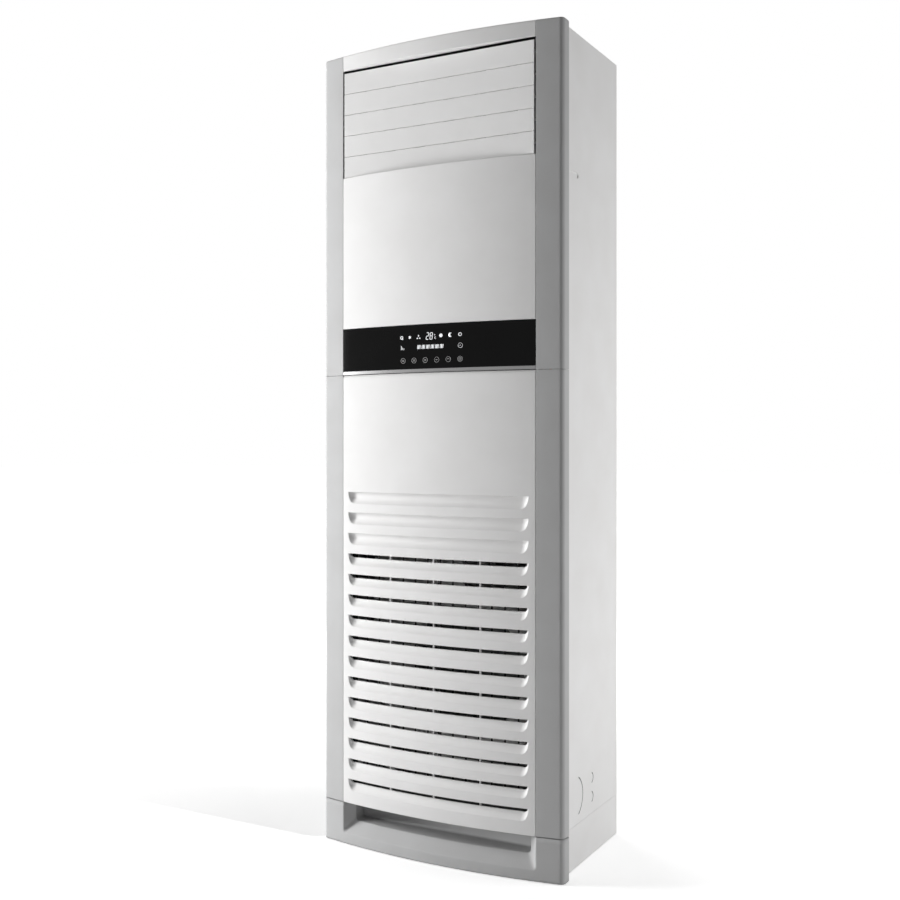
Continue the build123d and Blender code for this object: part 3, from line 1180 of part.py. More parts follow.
def pipe_union(route, stub_radius, bore_radius):
    """Hexagon and male flare stub at the pipe's lower end."""
    end = route[-1]
    with BuildSketch(Plane.XY.offset(PIPE_LOW)) as hexagon:
        with Locations((end.X, end.Y)):
            RegularPolygon(stub_radius + 3.5, 6)
    extrude(hexagon.sketch, amount=NUT_LENGTH)
    rod((end.X, end.Y, PIPE_LOW), stub_radius, STUB_LENGTH, (0, 0, -1))
    through = STUB_LENGTH + NUT_LENGTH + 2
    rod((end.X, end.Y, PIPE_LOW - STUB_LENGTH - 1), bore_radius, through, (0, 0, 1), mode=Mode.SUBTRACT)


with BuildPart() as refrigerant_pipes:
    for route, radius, bend, stub_radius in (
        (gas_route, GAS_R, GAS_BEND, GAS_STUB_R),
        (liquid_route, LIQUID_R, LIQUID_BEND, LIQUID_STUB_R),
    ):
        with BuildLine():
            FilletPolyline(*route, radius=bend)
        with BuildSketch(Plane(origin=route[0], z_dir=(1, 0, 0))):
            Circle(radius)
            Circle(radius - PIPE_WALL, mode=Mode.SUBTRACT)
        sweep()
        rod(route[0], radius, CRIMP_LENGTH, (1, 0, 0))
        rod(route[0], TUBE_R - PIPE_WALL, CRIMP_LENGTH, (1, 0, 0), mode=Mode.SUBTRACT)
        pipe_union(route, stub_radius, radius - PIPE_WALL)
keep(refrigerant_pipes, "refrigerant_pipes")

# ------------------------------------------------------------ fan deck
TONGUE_X = SCROLL_X - TONGUE_R
DECK_FRONT = POST_BACK + FIT_GAP
DECK_TOP = DECK_Z + FRAME_SHEET
BOX_LOW = DECK_TOP + BOX_RISE
BOX_HIGH = INTAKE_TOP - BOX_TOP_DROP
BOX_FRONT_Y = MIDDLE_RAIL_FRONT + BOX_FRONT_ROOM
BOX_BACK_Y = BOX_FRONT_Y + BOX_DEPTH
WALL_Y = BOX_BACK_Y + FIT_GAP

with BuildPart() as fan_deck:
    deck_y = (DECK_FRONT, REAR_PANEL_Y - THIN_SHEET - FIT_GAP)
    block((-REAR_HALF, REAR_HALF), deck_y, (DECK_Z, DECK_TOP))
    block((SCROLL_LEFT, TONGUE_X), (SCROLL_FRONT_Y, SCROLL_BACK_Y), (DECK_Z - 1, DECK_TOP + 1), mode=Mode.SUBTRACT)
    block((-REAR_HALF + 30, REAR_HALF - 60), (WALL_Y, WALL_Y + SHEET), (DECK_Z, DRAIN_LOW - FIT_GAP))
    rod((HOSE_X, HOSE_END_Y, DECK_Z - 1), HOSE_R + 2, 6, (0, 0, 1), mode=Mode.SUBTRACT)
    for route, radius in ((gas_route, GAS_R), (liquid_route, LIQUID_R)):
        rod((route[2].X, route[2].Y, DECK_Z - 1), radius + 2, 6, (0, 0, 1), mode=Mode.SUBTRACT)
keep(fan_deck, "fan_deck")

# ------------------------------------------------------------ scroll housing
SCROLL_TOP = DECK_Z - 0.3
FRONT_PLATE = 1.5


def scroll_points(wall):
    """Corner points of the spiral wall, a given thickness outside its air face."""
    first = Vector(SCROLL_X, SCROLL_Z)
    second = first + Vector(-SCROLL_STEP, 0)
    third = second + Vector(0, SCROLL_STEP)
    radii = [SCROLL_R + wall, SCROLL_R + SCROLL_STEP + wall, SCROLL_R + 2 * SCROLL_STEP + wall]
    return (first, second, third), radii


def spiral_path(wall):
    """Outlet wall, tongue, three quarter arcs of growing radius, outlet wall."""
    centres, radii = scroll_points(wall)
    tongue = Vector(SCROLL_X, SCROLL_Z + SCROLL_R + TONGUE_R)
    diagonal = sqrt(0.5)
    tongue_radius = TONGUE_R - wall
    tongue_side = tongue + Vector(-tongue_radius, 0)
    tongue_base = tongue + Vector(0, -tongue_radius)
    Line((tongue_side.X, SCROLL_TOP), tongue_side)
    ThreePointArc(tongue_side, tongue + Vector(-diagonal, -diagonal) * tongue_radius, tongue_base)
    turns = ((0, 1), (1, 0), (0, -1), (-1, 0))
    for centre, radius, start, end in zip(centres, radii, turns, turns[1:]):
        middle = (Vector(*start) + Vector(*end)) * diagonal
        ThreePointArc(centre + Vector(*start) * radius, centre + middle * radius, centre + Vector(*end) * radius)
    left = centres[2] + Vector(-radii[2], 0)
    Line(left, (left.X, SCROLL_TOP))
    return tongue_side.X, left.X


def scroll_face(y, wall):
    """Whole outline of the scroll, with its air space, at a distance outside the air face."""
    with BuildSketch(Plane.XZ.offset(-y)) as outline:
        with BuildLine():
            right_x, left_x = spiral_path(wall)
            Line((left_x, SCROLL_TOP), (right_x, SCROLL_TOP))
        make_face()
    return outline.sketch


with BuildPart() as scroll_housing:
    extrude(scroll_face(SCROLL_FRONT_Y, SCROLL_WALL), amount=-SCROLL_WIDTH - FRONT_PLATE)
    extrude(scroll_face(SCROLL_FRONT_Y - 1, 0), amount=-SCROLL_WIDTH - 1, mode=Mode.SUBTRACT)
    air_top = (SCROLL_TOP - 20, SCROLL_TOP + 1)
    block((SCROLL_LEFT, TONGUE_X), (SCROLL_FRONT_Y - 1, SCROLL_BACK_Y), air_top, mode=Mode.SUBTRACT)
    wheel_x = SCROLL_X + WHEEL_SHIFT_X
    wheel_z = SCROLL_Z + WHEEL_SHIFT_Z
    rod((wheel_x, SCROLL_BACK_Y - 1, wheel_z), HUB_R + 6, 4, (0, 1, 0), mode=Mode.SUBTRACT)
keep(scroll_housing, "scroll_housing")

with BuildPart() as scroll_front:
    plate_y = SCROLL_FRONT_Y - 0.3
    extrude(scroll_face(plate_y, SCROLL_WALL), amount=FRONT_PLATE)
    flare_r = MOUTH_R + MOUTH_FLARE
    rod((wheel_x, plate_y - 3, wheel_z), flare_r, 6, (0, 1, 0), mode=Mode.SUBTRACT)
    with BuildSketch(Plane.XY.offset(wheel_z)) as mouth_section:
        with Locations((wheel_x + flare_r, plate_y - FRONT_PLATE + MOUTH_FLARE)):
            Circle(MOUTH_FLARE)
            Circle(MOUTH_FLARE - FRONT_PLATE, mode=Mode.SUBTRACT)
        with Locations((wheel_x + flare_r, plate_y - FRONT_PLATE + MOUTH_FLARE)):
            Rectangle(
                MOUTH_FLARE, MOUTH_FLARE, align=(Align.MAX, Align.MAX), mode=Mode.INTERSECT
            )
    revolve(mouth_section.sketch, Axis((wheel_x, 0, wheel_z), (0, 1, 0)))
keep(scroll_front, "scroll_front")

# ------------------------------------------------------------ fan wheel, shaft, motor
WHEEL_FRONT = SCROLL_FRONT_Y + WHEEL_FRONT_GAP
WHEEL_BACK = WHEEL_FRONT + WHEEL_WIDTH
RING = 3.0
MOTOR_Y = SCROLL_BACK_Y + FRONT_PLATE + 0.2 + BRACKET_THICK + 0.2

with BuildPart() as fan_wheel:
    with BuildSketch(Plane.XZ.offset(-WHEEL_FRONT)):
        with Locations((wheel_x, wheel_z)):
            with BuildLine(mode=Mode.PRIVATE):
                mid_r = (WHEEL_R + WHEEL_INNER_R) / 2
                blade_arc = ThreePointArc((WHEEL_INNER_R + 0.6, 0), (mid_r, 5), (WHEEL_R - 0.6, 16))
            with PolarLocations(0, WHEEL_BLADES):
                SlotArc(blade_arc, BLADE_SHEET)
    extrude(amount=-WHEEL_WIDTH)
    with BuildSketch(Plane.XZ.offset(-WHEEL_FRONT)):
        with Locations((wheel_x, wheel_z)):
            Circle(WHEEL_R)
            Circle(WHEEL_INNER_R, mode=Mode.SUBTRACT)
    extrude(amount=-RING)
    rod((wheel_x, WHEEL_BACK - RING, wheel_z), WHEEL_R, RING, (0, 1, 0))
    rod((wheel_x, WHEEL_BACK - HUB_LENGTH, wheel_z), HUB_R, HUB_LENGTH, (0, 1, 0))
    rod(
        (wheel_x, WHEEL_BACK - HUB_LENGTH - 1, wheel_z),
        SHAFT_R + RUNNING_GAP,
        HUB_LENGTH + 2,
        (0, 1, 0),
        mode=Mode.SUBTRACT,
    )
keep(fan_wheel, "fan_wheel")

NUT_THICK = 8.0
SHAFT_FRONT = WHEEL_BACK - HUB_LENGTH - NUT_THICK - 6
SHAFT_BACK = MOTOR_Y + MOTOR_LENGTH - 8
with BuildPart() as motor_shaft:
    rod((wheel_x, SHAFT_FRONT, wheel_z), SHAFT_R, SHAFT_BACK - SHAFT_FRONT, (0, 1, 0))
    with BuildSketch(Plane.XZ.offset(-(WHEEL_BACK - HUB_LENGTH - NUT_THICK - 0.1))):
        with Locations((wheel_x, wheel_z)):
            RegularPolygon(NUT_R, 6)
    extrude(amount=-NUT_THICK)
keep(motor_shaft, "motor_shaft")

with BuildPart() as fan_motor:
    rod((wheel_x, MOTOR_Y, wheel_z), MOTOR_R, MOTOR_LENGTH, (0, 1, 0))
    fillet(fan_motor.edges().filter_by(GeomType.CIRCLE), 6)
    rod(
        (wheel_x, MOTOR_Y - 1, wheel_z),
        SHAFT_R + RUNNING_GAP,
        SHAFT_BACK - MOTOR_Y + 1.5,
        (0, 1, 0),
        mode=Mode.SUBTRACT,
    )
keep(fan_motor, "fan_motor")

with BuildPart() as motor_bracket:
    with BuildSketch(Plane.XZ.offset(-(SCROLL_BACK_Y + FRONT_PLATE + 0.2))):
        with Locations((wheel_x, wheel_z)):
            Circle(BRACKET_R)
            with PolarLocations(0, 3, 90):
                with Locations((BRACKET_R, 0)):
                    SlotOverall(110, 34)
            Circle(HUB_R + 6, mode=Mode.SUBTRACT)
    extrude(amount=-BRACKET_THICK)
keep(motor_bracket, "motor_bracket")

# ------------------------------------------------------------ electrical box
BOX_MIDDLE = (BOX_LOW + BOX_HIGH) / 2
PCB_Y = BOX_BACK_Y - BOX_SHEET - 8.0

with BuildPart() as electrical_box:
    block((-BOX_HALF, BOX_HALF), (BOX_FRONT_Y, BOX_BACK_Y), (BOX_LOW, BOX_HIGH))
    offset(amount=-BOX_SHEET, openings=electrical_box.faces().sort_by(Axis.Y)[0])
    for side in (-1, 1):
        for z in (BOX_LOW + 20, BOX_HIGH - 40):
            ear_x = (side * (BOX_HALF - 1), side * (POST_X + POST_WIDTH - 6))
            block(ear_x, (POST_BACK + FIT_GAP, POST_BACK + FIT_GAP + FRAME_SHEET), (z, z + 20))
    rod((BOX_HALF - 5, BOX_BACK_Y - 20, BOX_LOW + 60), 10, 12, (1, 0, 0), mode=Mode.SUBTRACT)
keep(electrical_box, "electrical_box")

with BuildPart() as electrical_cover:
    cover_y = BOX_FRONT_Y - FIT_GAP
    block((-BOX_HALF, BOX_HALF), (cover_y - BOX_SHEET, cover_y), (BOX_LOW, BOX_HIGH))
    fillet(electrical_cover.edges().filter_by(Axis.Y), 6)
keep(electrical_cover, "electrical_cover")

with BuildPart() as control_board:
    pcb_back = PCB_Y + BOARD_THICK
    block((-165, 60), (PCB_Y, pcb_back), (BOX_LOW + 25, BOX_HIGH - 25))
    for x in (-158, 53):
        for z in (BOX_LOW + 32, BOX_HIGH - 32):
            rod((x, pcb_back, z), 3, BOX_BACK_Y - BOX_SHEET - 0.2 - pcb_back, (0, 1, 0))
    block((-150, -95), (PCB_Y - 38, PCB_Y), (BOX_LOW + 45, BOX_LOW + 90))
    rod((-40, PCB_Y, BOX_LOW + 75), 14, 34, (0, -1, 0))
    for number in range(4):
        relay_x = -145 + 34 * number
        block((relay_x, relay_x + 26), (PCB_Y - 20, PCB_Y), (BOX_HIGH - 75, BOX_HIGH - 55))
    block((-60, 20), (PCB_Y - 6, PCB_Y), (BOX_MIDDLE - 12, BOX_MIDDLE + 23))
    terminal_y = (BOX_BACK_Y - BOX_SHEET - 26, BOX_BACK_Y - BOX_SHEET - 0.2)
    block((85, 165), terminal_y, (BOX_LOW + 40, BOX_LOW + 66))
    for number in range(5):
        rod((93 + 16 * number, terminal_y[0], BOX_LOW + 53), 4, 2, (0, -1, 0))
keep(control_board, "control_board")
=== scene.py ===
"""Looks of the floor standing air conditioner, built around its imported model.

Lengths are in millimetres and become metres when a mesh is made, except in finishes,
lamps and the camera, which are in metres.
X is to the right, Y to the rear, Z up, with the origin on the floor under the middle.
"""

from __future__ import annotations

import json
import logging
from dataclasses import dataclass, field, replace
from enum import Enum

import bmesh
import bpy
import numpy as np
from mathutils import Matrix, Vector


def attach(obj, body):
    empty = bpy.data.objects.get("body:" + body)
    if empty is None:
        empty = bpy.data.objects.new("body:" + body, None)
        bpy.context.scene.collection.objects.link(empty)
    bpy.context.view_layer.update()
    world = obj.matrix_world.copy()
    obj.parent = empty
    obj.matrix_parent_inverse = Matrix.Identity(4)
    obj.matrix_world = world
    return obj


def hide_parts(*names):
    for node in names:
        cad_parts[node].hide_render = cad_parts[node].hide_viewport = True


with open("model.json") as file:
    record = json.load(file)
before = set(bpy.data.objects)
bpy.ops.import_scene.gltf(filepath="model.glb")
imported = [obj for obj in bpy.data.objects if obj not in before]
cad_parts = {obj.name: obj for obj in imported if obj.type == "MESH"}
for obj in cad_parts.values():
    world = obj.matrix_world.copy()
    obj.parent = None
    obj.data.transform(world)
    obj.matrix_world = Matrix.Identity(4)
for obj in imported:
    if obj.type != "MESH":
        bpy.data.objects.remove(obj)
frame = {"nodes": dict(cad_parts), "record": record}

LOG = logging.getLogger("air_conditioner")
MM = 0.001
FLAT = 1000.0  # a depth that stands for a part's flat back
SHARP = 0.02  # reach of a corner that stays sharp
GUARD = 1.35  # reaches from a corner to the point that keeps the flat beside it flat
QUARTER_TURN = np.radians([0.0, 30.0, 60.0, 90.0])
Pair = tuple[float, float]
Colour = tuple[float, float, float]
Socket = bpy.types.NodeSocket


# ------------------------------------------------------------ surfaces as arrays
@dataclass
class Surface:
    """Points with the faces between them, in millimetres."""

    points: np.ndarray
    quads: np.ndarray
    caps: list[np.ndarray] = field(default_factory=list)

    @staticmethod
    def joined(parts: list[Surface]) -> Surface:
        """Puts several surfaces into one, each with its own points.

        Args:
            parts: the surfaces.

        Returns:
            One surface that holds them all.
        """
        starts = np.cumsum([0] + [len(part.points) for part in parts[:-1]])
        caps = [cap + start for part, start in zip(parts, starts) for cap in part.caps]
        quads = np.concatenate([part.quads + start for part, start in zip(parts, starts)])
        return Surface(np.concatenate([part.points for part in parts]), quads, caps)

    def turned(self) -> Surface:
        """The same surface with its faces the other way."""
        return Surface(self.points, self.quads[:, ::-1], [cap[::-1] for cap in self.caps])

    def mirrored(self) -> Surface:
        """The same surface on the other side of the middle plane, faces turned with it."""
        return replace(self.turned(), points=self.points * np.array([-1.0, 1.0, 1.0]))

    def with_mirror(self) -> Surface:
        """The surface and its mirror image together."""
        return Surface.joined([self, self.mirrored()])

    def welded(self) -> Surface:
        """Points that fall on the same thousandth of a millimetre become one.

        Returns:
            The surface, its faces on the points that stay.
        """
        keys = np.round(self.points * 1000).astype(np.int64)
        _, first, place = np.unique(keys, axis=0, return_index=True, return_inverse=True)
        place = place.reshape(-1)
        return Surface(self.points[first], place[self.quads], [place[cap] for cap in self.caps])

    def outward(self) -> Surface:
        """Turns a closed surface if its faces point in.

        They do where the sum of the triple products of its triangles' corners is below zero.

        Returns:
            The surface with its faces outwards.
        """
        corners = self.points[self.quads]
        total = np.einsum("ij,ij->", corners[:, 0], np.cross(corners[:, 1], corners[:, 2]))
        total += np.einsum("ij,ij->", corners[:, 0], np.cross(corners[:, 2], corners[:, 3]))
        for cap in self.caps:
            fan = self.points[cap]
            total += np.cross(fan[1:-1], fan[2:]).sum(0) @ fan[0]
        return self.turned() if total < 0 else self

    def piece(self, name: str) -> bpy.types.Object:
        """Makes the mesh object, smooth, at the origin.

        Args:
            name: the object's name.

        Returns:
            The linked object, with its place in its mesh.
        """
        mesh = bpy.data.meshes.new(name)
        sizes = np.concatenate([np.full(len(self.quads), 4), [len(cap) for cap in self.caps]])
        sizes = sizes.astype(np.int32)
        corners = np.concatenate([self.quads.reshape(-1), *self.caps]).astype(np.int32)
        starts = np.concatenate([[0], np.cumsum(sizes)[:-1]]).astype(np.int32)
        mesh.vertices.add(len(self.points))
        mesh.vertices.foreach_set("co", (self.points * MM).astype(np.float32).reshape(-1))
        mesh.loops.add(len(corners))
        mesh.loops.foreach_set("vertex_index", corners)
        mesh.polygons.add(len(sizes))
        mesh.polygons.foreach_set("loop_start", starts)
        mesh.update(calc_edges=True)
        mesh.validate()
        mesh.shade_smooth()
        made = bpy.data.objects.new(name, mesh)
        bpy.context.scene.collection.objects.link(made)
        return made


def grid(points: np.ndarray, closed: bool = False) -> Surface:
    """A sheet of quads over an array of points.

    Args:
        points: rows by columns by three.
        closed: whether the last column joins the first.

    Returns:
        The sheet, with four neighbours of the array as each quad's corners.
    """
    rows, columns = points.shape[:2]
    index = np.arange(rows * columns).reshape(rows, columns)
    if closed:
        index = np.concatenate([index, index[:, :1]], axis=1)
    quads = np.stack([index[:-1, :-1], index[:-1, 1:], index[1:, 1:], index[1:, :-1]], axis=-1)
    return Surface(points.reshape(-1, 3), quads.reshape(-1, 4))


def carried(points: np.ndarray) -> Surface:
    """A closed section carried along, with a flat cap at each end.

    Args:
        points: sections along the way by points around the section by three.

    Returns:
        The closed solid, faces outwards.
    """
    body = grid(points, closed=True)
    around = np.arange(points.shape[1])
    body.caps = [around[::-1], around + (len(points) - 1) * len(around)]
    return body.outward()


def soften(corners: list[Pair], reach: float | list[float], steps: int = 4) -> np.ndarray:
    """Rounds the corners of a closed outline.

    Each corner becomes a parabola from a point on one side to a point on the other,
    (1-s)^2 A + 2 s (1-s) P + s^2 B, with a further point a little outside each end so
    that the shading of the flat sides stays flat.

    Args:
        corners: the outline's corners in order.
        reach: how far along the sides the rounding starts, for all or for each corner.
        steps: number of faces across a corner.

    Returns:
        The rounded outline, points by two.
    """
    points = np.array(corners, float)
    reaches = np.broadcast_to(np.array(reach, float), len(points))
    reaches = np.maximum(reaches, SHARP)[:, None, None]
    back = np.roll(points, 1, axis=0) - points
    ahead = np.roll(points, -1, axis=0) - points
    back = (back / np.linalg.norm(back, axis=1, keepdims=True))[:, None]
    ahead = (ahead / np.linalg.norm(ahead, axis=1, keepdims=True))[:, None]
    share = np.linspace(0, 1, steps + 1)[None, :, None]
    curve = points[:, None] + reaches * ((1 - share) ** 2 * back + share**2 * ahead)
    first = points[:, None] + GUARD * reaches * back
    last = points[:, None] + GUARD * reaches * ahead
    return np.concatenate([first, curve, last], axis=1).reshape(-1, 2)


def drawn_in(outline: np.ndarray, insets: np.ndarray) -> np.ndarray:
    """A closed outline moved in along its normals, once for each inset.

    The normal at a point is at a right angle to the chord between its neighbours.

    Args:
        outline: points by two.
        insets: how far it moves in, one for each section along the way.

    Returns:
        Sections by points by two.
    """
    ahead = np.roll(outline, -1, axis=0)
    chord = ahead - np.roll(outline, 1, axis=0)
    normals = np.stack([chord[:, 1], -chord[:, 0]], axis=1)
    normals /= np.maximum(np.linalg.norm(normals, axis=1, keepdims=True), 1e-9)
    if np.sum(outline[:, 0] * ahead[:, 1] - ahead[:, 0] * outline[:, 1]) <= 0:
        normals = -normals
    return outline[None] - normals[None] * insets[:, None, None]


def soft_run(start: float, end: float, inner: np.ndarray, edge: float) -> tuple[np.ndarray, ...]:
    """Places along a run whose two ends are rounded.

    At an angle a of the end's quarter circle the place is edge (1 - cos a) in from the
    end and the section is drawn in by edge (1 - sin a).

    Args:
        start: where the run begins.
        end: where it ends.
        inner: places between, as shares of the run.
        edge: radius of the end's rounding.

    Returns:
        The places, and how far the section is drawn in at each.
    """
    drawn = edge * (1 - np.sin(QUARTER_TURN))
    shift = np.append(edge * (1 - np.cos(QUARTER_TURN)), edge * GUARD)
    sign = np.sign(end - start)
    low = start + sign * shift
    high = end - sign * shift[::-1]
    middle = low[-1] + (high[0] - low[-1]) * inner
    insets = np.concatenate([drawn, np.zeros(len(inner) + 2), drawn[::-1]])
    return np.concatenate([low, middle, high]), insets


def prism(outline: np.ndarray, run: Pair, axis: int, edge: float = 0.3) -> Surface:
    """A closed outline carried along one axis, its ends rounded.

    Args:
        outline: points by two, along the two other axes in the order X, Y, Z.
        run: where it begins and ends along the axis.
        axis: 0 for X, 1 for Y, 2 for Z.
        edge: radius of the rounding at both ends.

    Returns:
        The closed solid, faces outwards.
    """
    places, insets = soft_run(*run, np.array([]), edge)
    points = np.empty((len(places), len(outline), 3))
    points[..., axis] = places[:, None]
    points[..., [other for other in range(3) if other != axis]] = drawn_in(outline, insets)
    return carried(points)


def arc(centre: Pair, radius: float, start: float, end: float, count: int) -> np.ndarray:
    """Points on an arc: centre plus radius times cosine and sine of angles in degrees."""
    angle = np.radians(np.linspace(start, end, count))
    return np.array(centre) + radius * np.stack([np.cos(angle), np.sin(angle)], axis=1)


def circle(centre: Pair, radius: float, sides: int = 32) -> np.ndarray:
    """Points on a whole circle, the last one side before the first."""
    return arc(centre, radius, 0.0, 360.0 * (1 - 1 / sides), sides)


def rectangle(across: Pair, up: Pair) -> list[Pair]:
    """Corners of a rectangle, from its lowest values, first across and then up."""
    return [(across[0], up[0]), (across[1], up[0]), (across[1], up[1]), (across[0], up[1])]


def box(x: Pair, y: Pair, z: Pair, edge: float = 0.4) -> Surface:
    """A box between two values along each axis, all its edges rounded."""
    return prism(soften(rectangle(x, y), edge, 3), z, 2, edge)


# ------------------------------------------------------------ the form of the front
@dataclass(frozen=True)
class FrontForm:
    """The bowed front: an upright cylinder with a rounded corner at each side."""

    centre_y: float = 1415.0
    radius: float = 1610.0
    half_width: float = 307.0
    corner_radius: float = 12.0
    pillar_x: float = 247.0
    panel_half: float = 246.2
    pillar_back: float = -137.87
    end_round: float = 0.5
    bow_places: int = 18
    turn_places: int = 18
    straight_shares: tuple[float, ...] = (0.35, 0.7, 0.97, 1.0)

    @property
    def places(self) -> int:
        """Number of places from a corner's start to its back."""
        return self.bow_places + self.turn_places + len(self.straight_shares)

    def bow(self, x: np.ndarray | float, depth: np.ndarray | float = 0.0) -> np.ndarray:
        """Y of the front at x and a depth in.

        It is the centre less the root of (R - depth)^2 - x^2, or the flat back.

        Args:
            x: places across.
            depth: how far in from the front, or FLAT for the flat back.

        Returns:
            Y at each place.
        """
        flat = np.asarray(depth) > FLAT / 2
        reach = self.radius - np.where(flat, 0.0, depth)
        return np.where(flat, self.pillar_back, self.centre_y - np.sqrt(reach**2 - np.square(x)))

    def bow_at(self, x: float, depth: float = 0.0) -> float:
        """Y of the front at one x and depth."""
        return float(self.bow(x, depth))

    def bowed(self, section: np.ndarray, edge: float, columns: int = 60) -> Surface:
        """A closed section of depth and height carried across the panels' width.

        The point at x has the section's depth in from the bow at that x.

        Args:
            section: points by two, depth in and height.
            edge: radius of the rounding at both ends.
            columns: places between the ends.

        Returns:
            The closed solid, faces outwards.
        """
        inner = np.linspace(0, 1, columns + 2)[1:-1]
        places, insets = soft_run(-self.panel_half, self.panel_half, inner, edge)
        drawn = drawn_in(section, insets)
        depth = np.where(section[None, :, 0] > FLAT / 2, FLAT, drawn[..., 0])
        x = np.broadcast_to(places[:, None], depth.shape)
        return carried(np.stack([x, self.bow(x, depth), drawn[..., 1]], axis=-1))

    def round_corner(self, depth: np.ndarray, start_x: float) -> tuple[np.ndarray, np.ndarray]:
        """Plan round the right corner at several depths.

        From start_x the line follows the bow to where the corner begins, then a quarter
        turn of radius corner_radius - depth about the corner's centre, then straight back.

        Args:
            depth: places along the line by points of the section.
            start_x: where the line begins.

        Returns:
            X and Y, each the shape of depth.
        """
        corner_x = self.half_width - self.corner_radius
        reach = self.radius - self.corner_radius
        corner_y = self.centre_y - np.sqrt(reach**2 - corner_x**2)
        lean = np.arctan2(corner_y - self.centre_y, corner_x)
        edge = self.end_round
        run = np.append(edge * (1 - np.cos(QUARTER_TURN)), edge * GUARD)[:, None]
        ahead, turning, straight = np.split(depth, np.cumsum([self.bow_places, self.turn_places]))
        bow_share = np.linspace(0, 1, self.bow_places - len(run) + 1)[1:, None]
        bow_end = (self.radius - ahead[len(run) :]) * np.cos(lean)
        first_x = start_x + run + 0 * ahead[: len(run)]
        bow_x = start_x + run[-1] + bow_share * (bow_end - start_x - run[-1])
        x = np.concatenate([first_x, bow_x])
        angle = np.linspace(lean, 0, self.turn_places + 1)[1:, None]
        turning = self.corner_radius - turning
        back_share = np.array(self.straight_shares)[:, None]
        straight_y = corner_y + back_share * (self.pillar_back - corner_y) + 0 * straight
        y = [self.bow(x, ahead), corner_y + turning * np.sin(angle), straight_y]
        turn_x = corner_x + turning * np.cos(angle)
        x = [x, turn_x, corner_x + self.corner_radius - straight]
        return np.concatenate(x), np.concatenate(y)

    def cornered(self, section: np.ndarray) -> Surface:
        """A closed section carried from a pillar's edge round the corner to its back.

        Args:
            section: points by two, depth in and height.

        Returns:
            The closed solid, faces outwards.
        """
        insets = np.zeros(self.places)
        insets[: len(QUARTER_TURN)] = self.end_round * (1 - np.sin(QUARTER_TURN))
        drawn = drawn_in(section, insets)
        x, y = self.round_corner(drawn[..., 0], self.pillar_x)
        return carried(np.stack([x, y, drawn[..., 1]], axis=-1))

    def corner_plate(self, depth: float, low: float, high: float) -> Surface:
        """A plate that fills the right corner's plan.

        Args:
            depth: how far in from the front its edge lies.
            low: height of its underside.
            high: height of its top.

        Returns:
            The closed plate, faces outwards.
        """
        x, y = self.round_corner(np.full((self.places, 1), depth), self.pillar_x)
        outline = np.concatenate([np.hstack([x, y]), [[self.pillar_x, self.pillar_back]]])
        return prism(outline, (low, high), 2, SHARP)


FORM = FrontForm()


# ------------------------------------------------------------ finishes
@dataclass(frozen=True)
class Wiring:
    """A node tree, with short ways to add its nodes and join them."""

    tree: bpy.types.NodeTree

    def fill(self, node: bpy.types.Node, inputs: dict[str | int, object]) -> bpy.types.Node:
        """Fills a node's inputs.

        Args:
            node: the node.
            inputs: a socket to link or a value to set, by the input's name or number.

        Returns:
            The same node.
        """
        for key, value in inputs.items():
            target = node.inputs[key]
            if isinstance(value, Socket):
                self.tree.links.new(value, target)
            else:
                target.default_value = (*value, 1.0) if target.type == "RGBA" else value
        return node

    def add(self, kind: str, inputs: dict[str | int, object] | None = None) -> bpy.types.Node:
        """Adds a node of a kind with its inputs filled."""
        return self.fill(self.tree.nodes.new(f"ShaderNode{kind}"), inputs or {})

    def place(self) -> Socket:
        """The object's own coordinates."""
        return self.add("TexCoord").outputs["Object"]

    def maths(self, operation: str, first: Socket, second: Socket) -> Socket:
        """Two values put together.

        Args:
            operation: one of the Math node's operations.
            first: the first value.
            second: the second value.

        Returns:
            The value that comes out.
        """
        node = self.add("Math", {0: first, 1: second})
        node.operation = operation
        return node.outputs[0]

    def noise(self, place: Socket, scale: float, detail: float) -> Socket:
        """A cloud of noise at a scale in cells per metre."""
        inputs = {"Vector": place, "Scale": scale, "Detail": detail}
        return self.add("TexNoise", inputs).outputs["Fac"]

    def stretched(self, place: Socket, scale: Colour) -> Socket:
        """Coordinates stretched by a factor along each axis."""
        return self.add("Mapping", {"Vector": place, "Scale": scale}).outputs["Vector"]

    def waves(self, place: Socket, direction: str, scale: float) -> Socket:
        """Even bands along one axis.

        Args:
            place: coordinates.
            direction: X, Y, Z or DIAGONAL.
            scale: how many bands lie in 0.314 metres.

        Returns:
            The bands as a value from 0 to 1.
        """
        node = self.add("TexWave", {"Vector": place, "Scale": scale})
        node.bands_direction = direction
        return node.outputs["Fac"]

    def spread(self, value: Socket, source: Pair, target: Pair) -> Socket:
        """Maps one range of a value to another, held at both ends."""
        inputs = dict(enumerate((value, *source, *target)))
        return self.add("MapRange", inputs).outputs["Result"]

    def blend(self, share: Socket, first: Colour | Socket, second: Colour) -> Socket:
        """A colour between two colours.

        Args:
            share: 0 where the first one shows, 1 where the second one does.
            first: a colour, or the socket that gives it.
            second: a colour.

        Returns:
            The mixed colour.
        """
        node = self.add("Mix", {"Factor": share})
        node.data_type = "RGBA"
        slots = [place for place, socket in enumerate(node.inputs) if socket.type == "RGBA"]
        self.fill(node, dict(zip(slots, (first, second))))
        return next(socket for socket in node.outputs if socket.type == "RGBA")


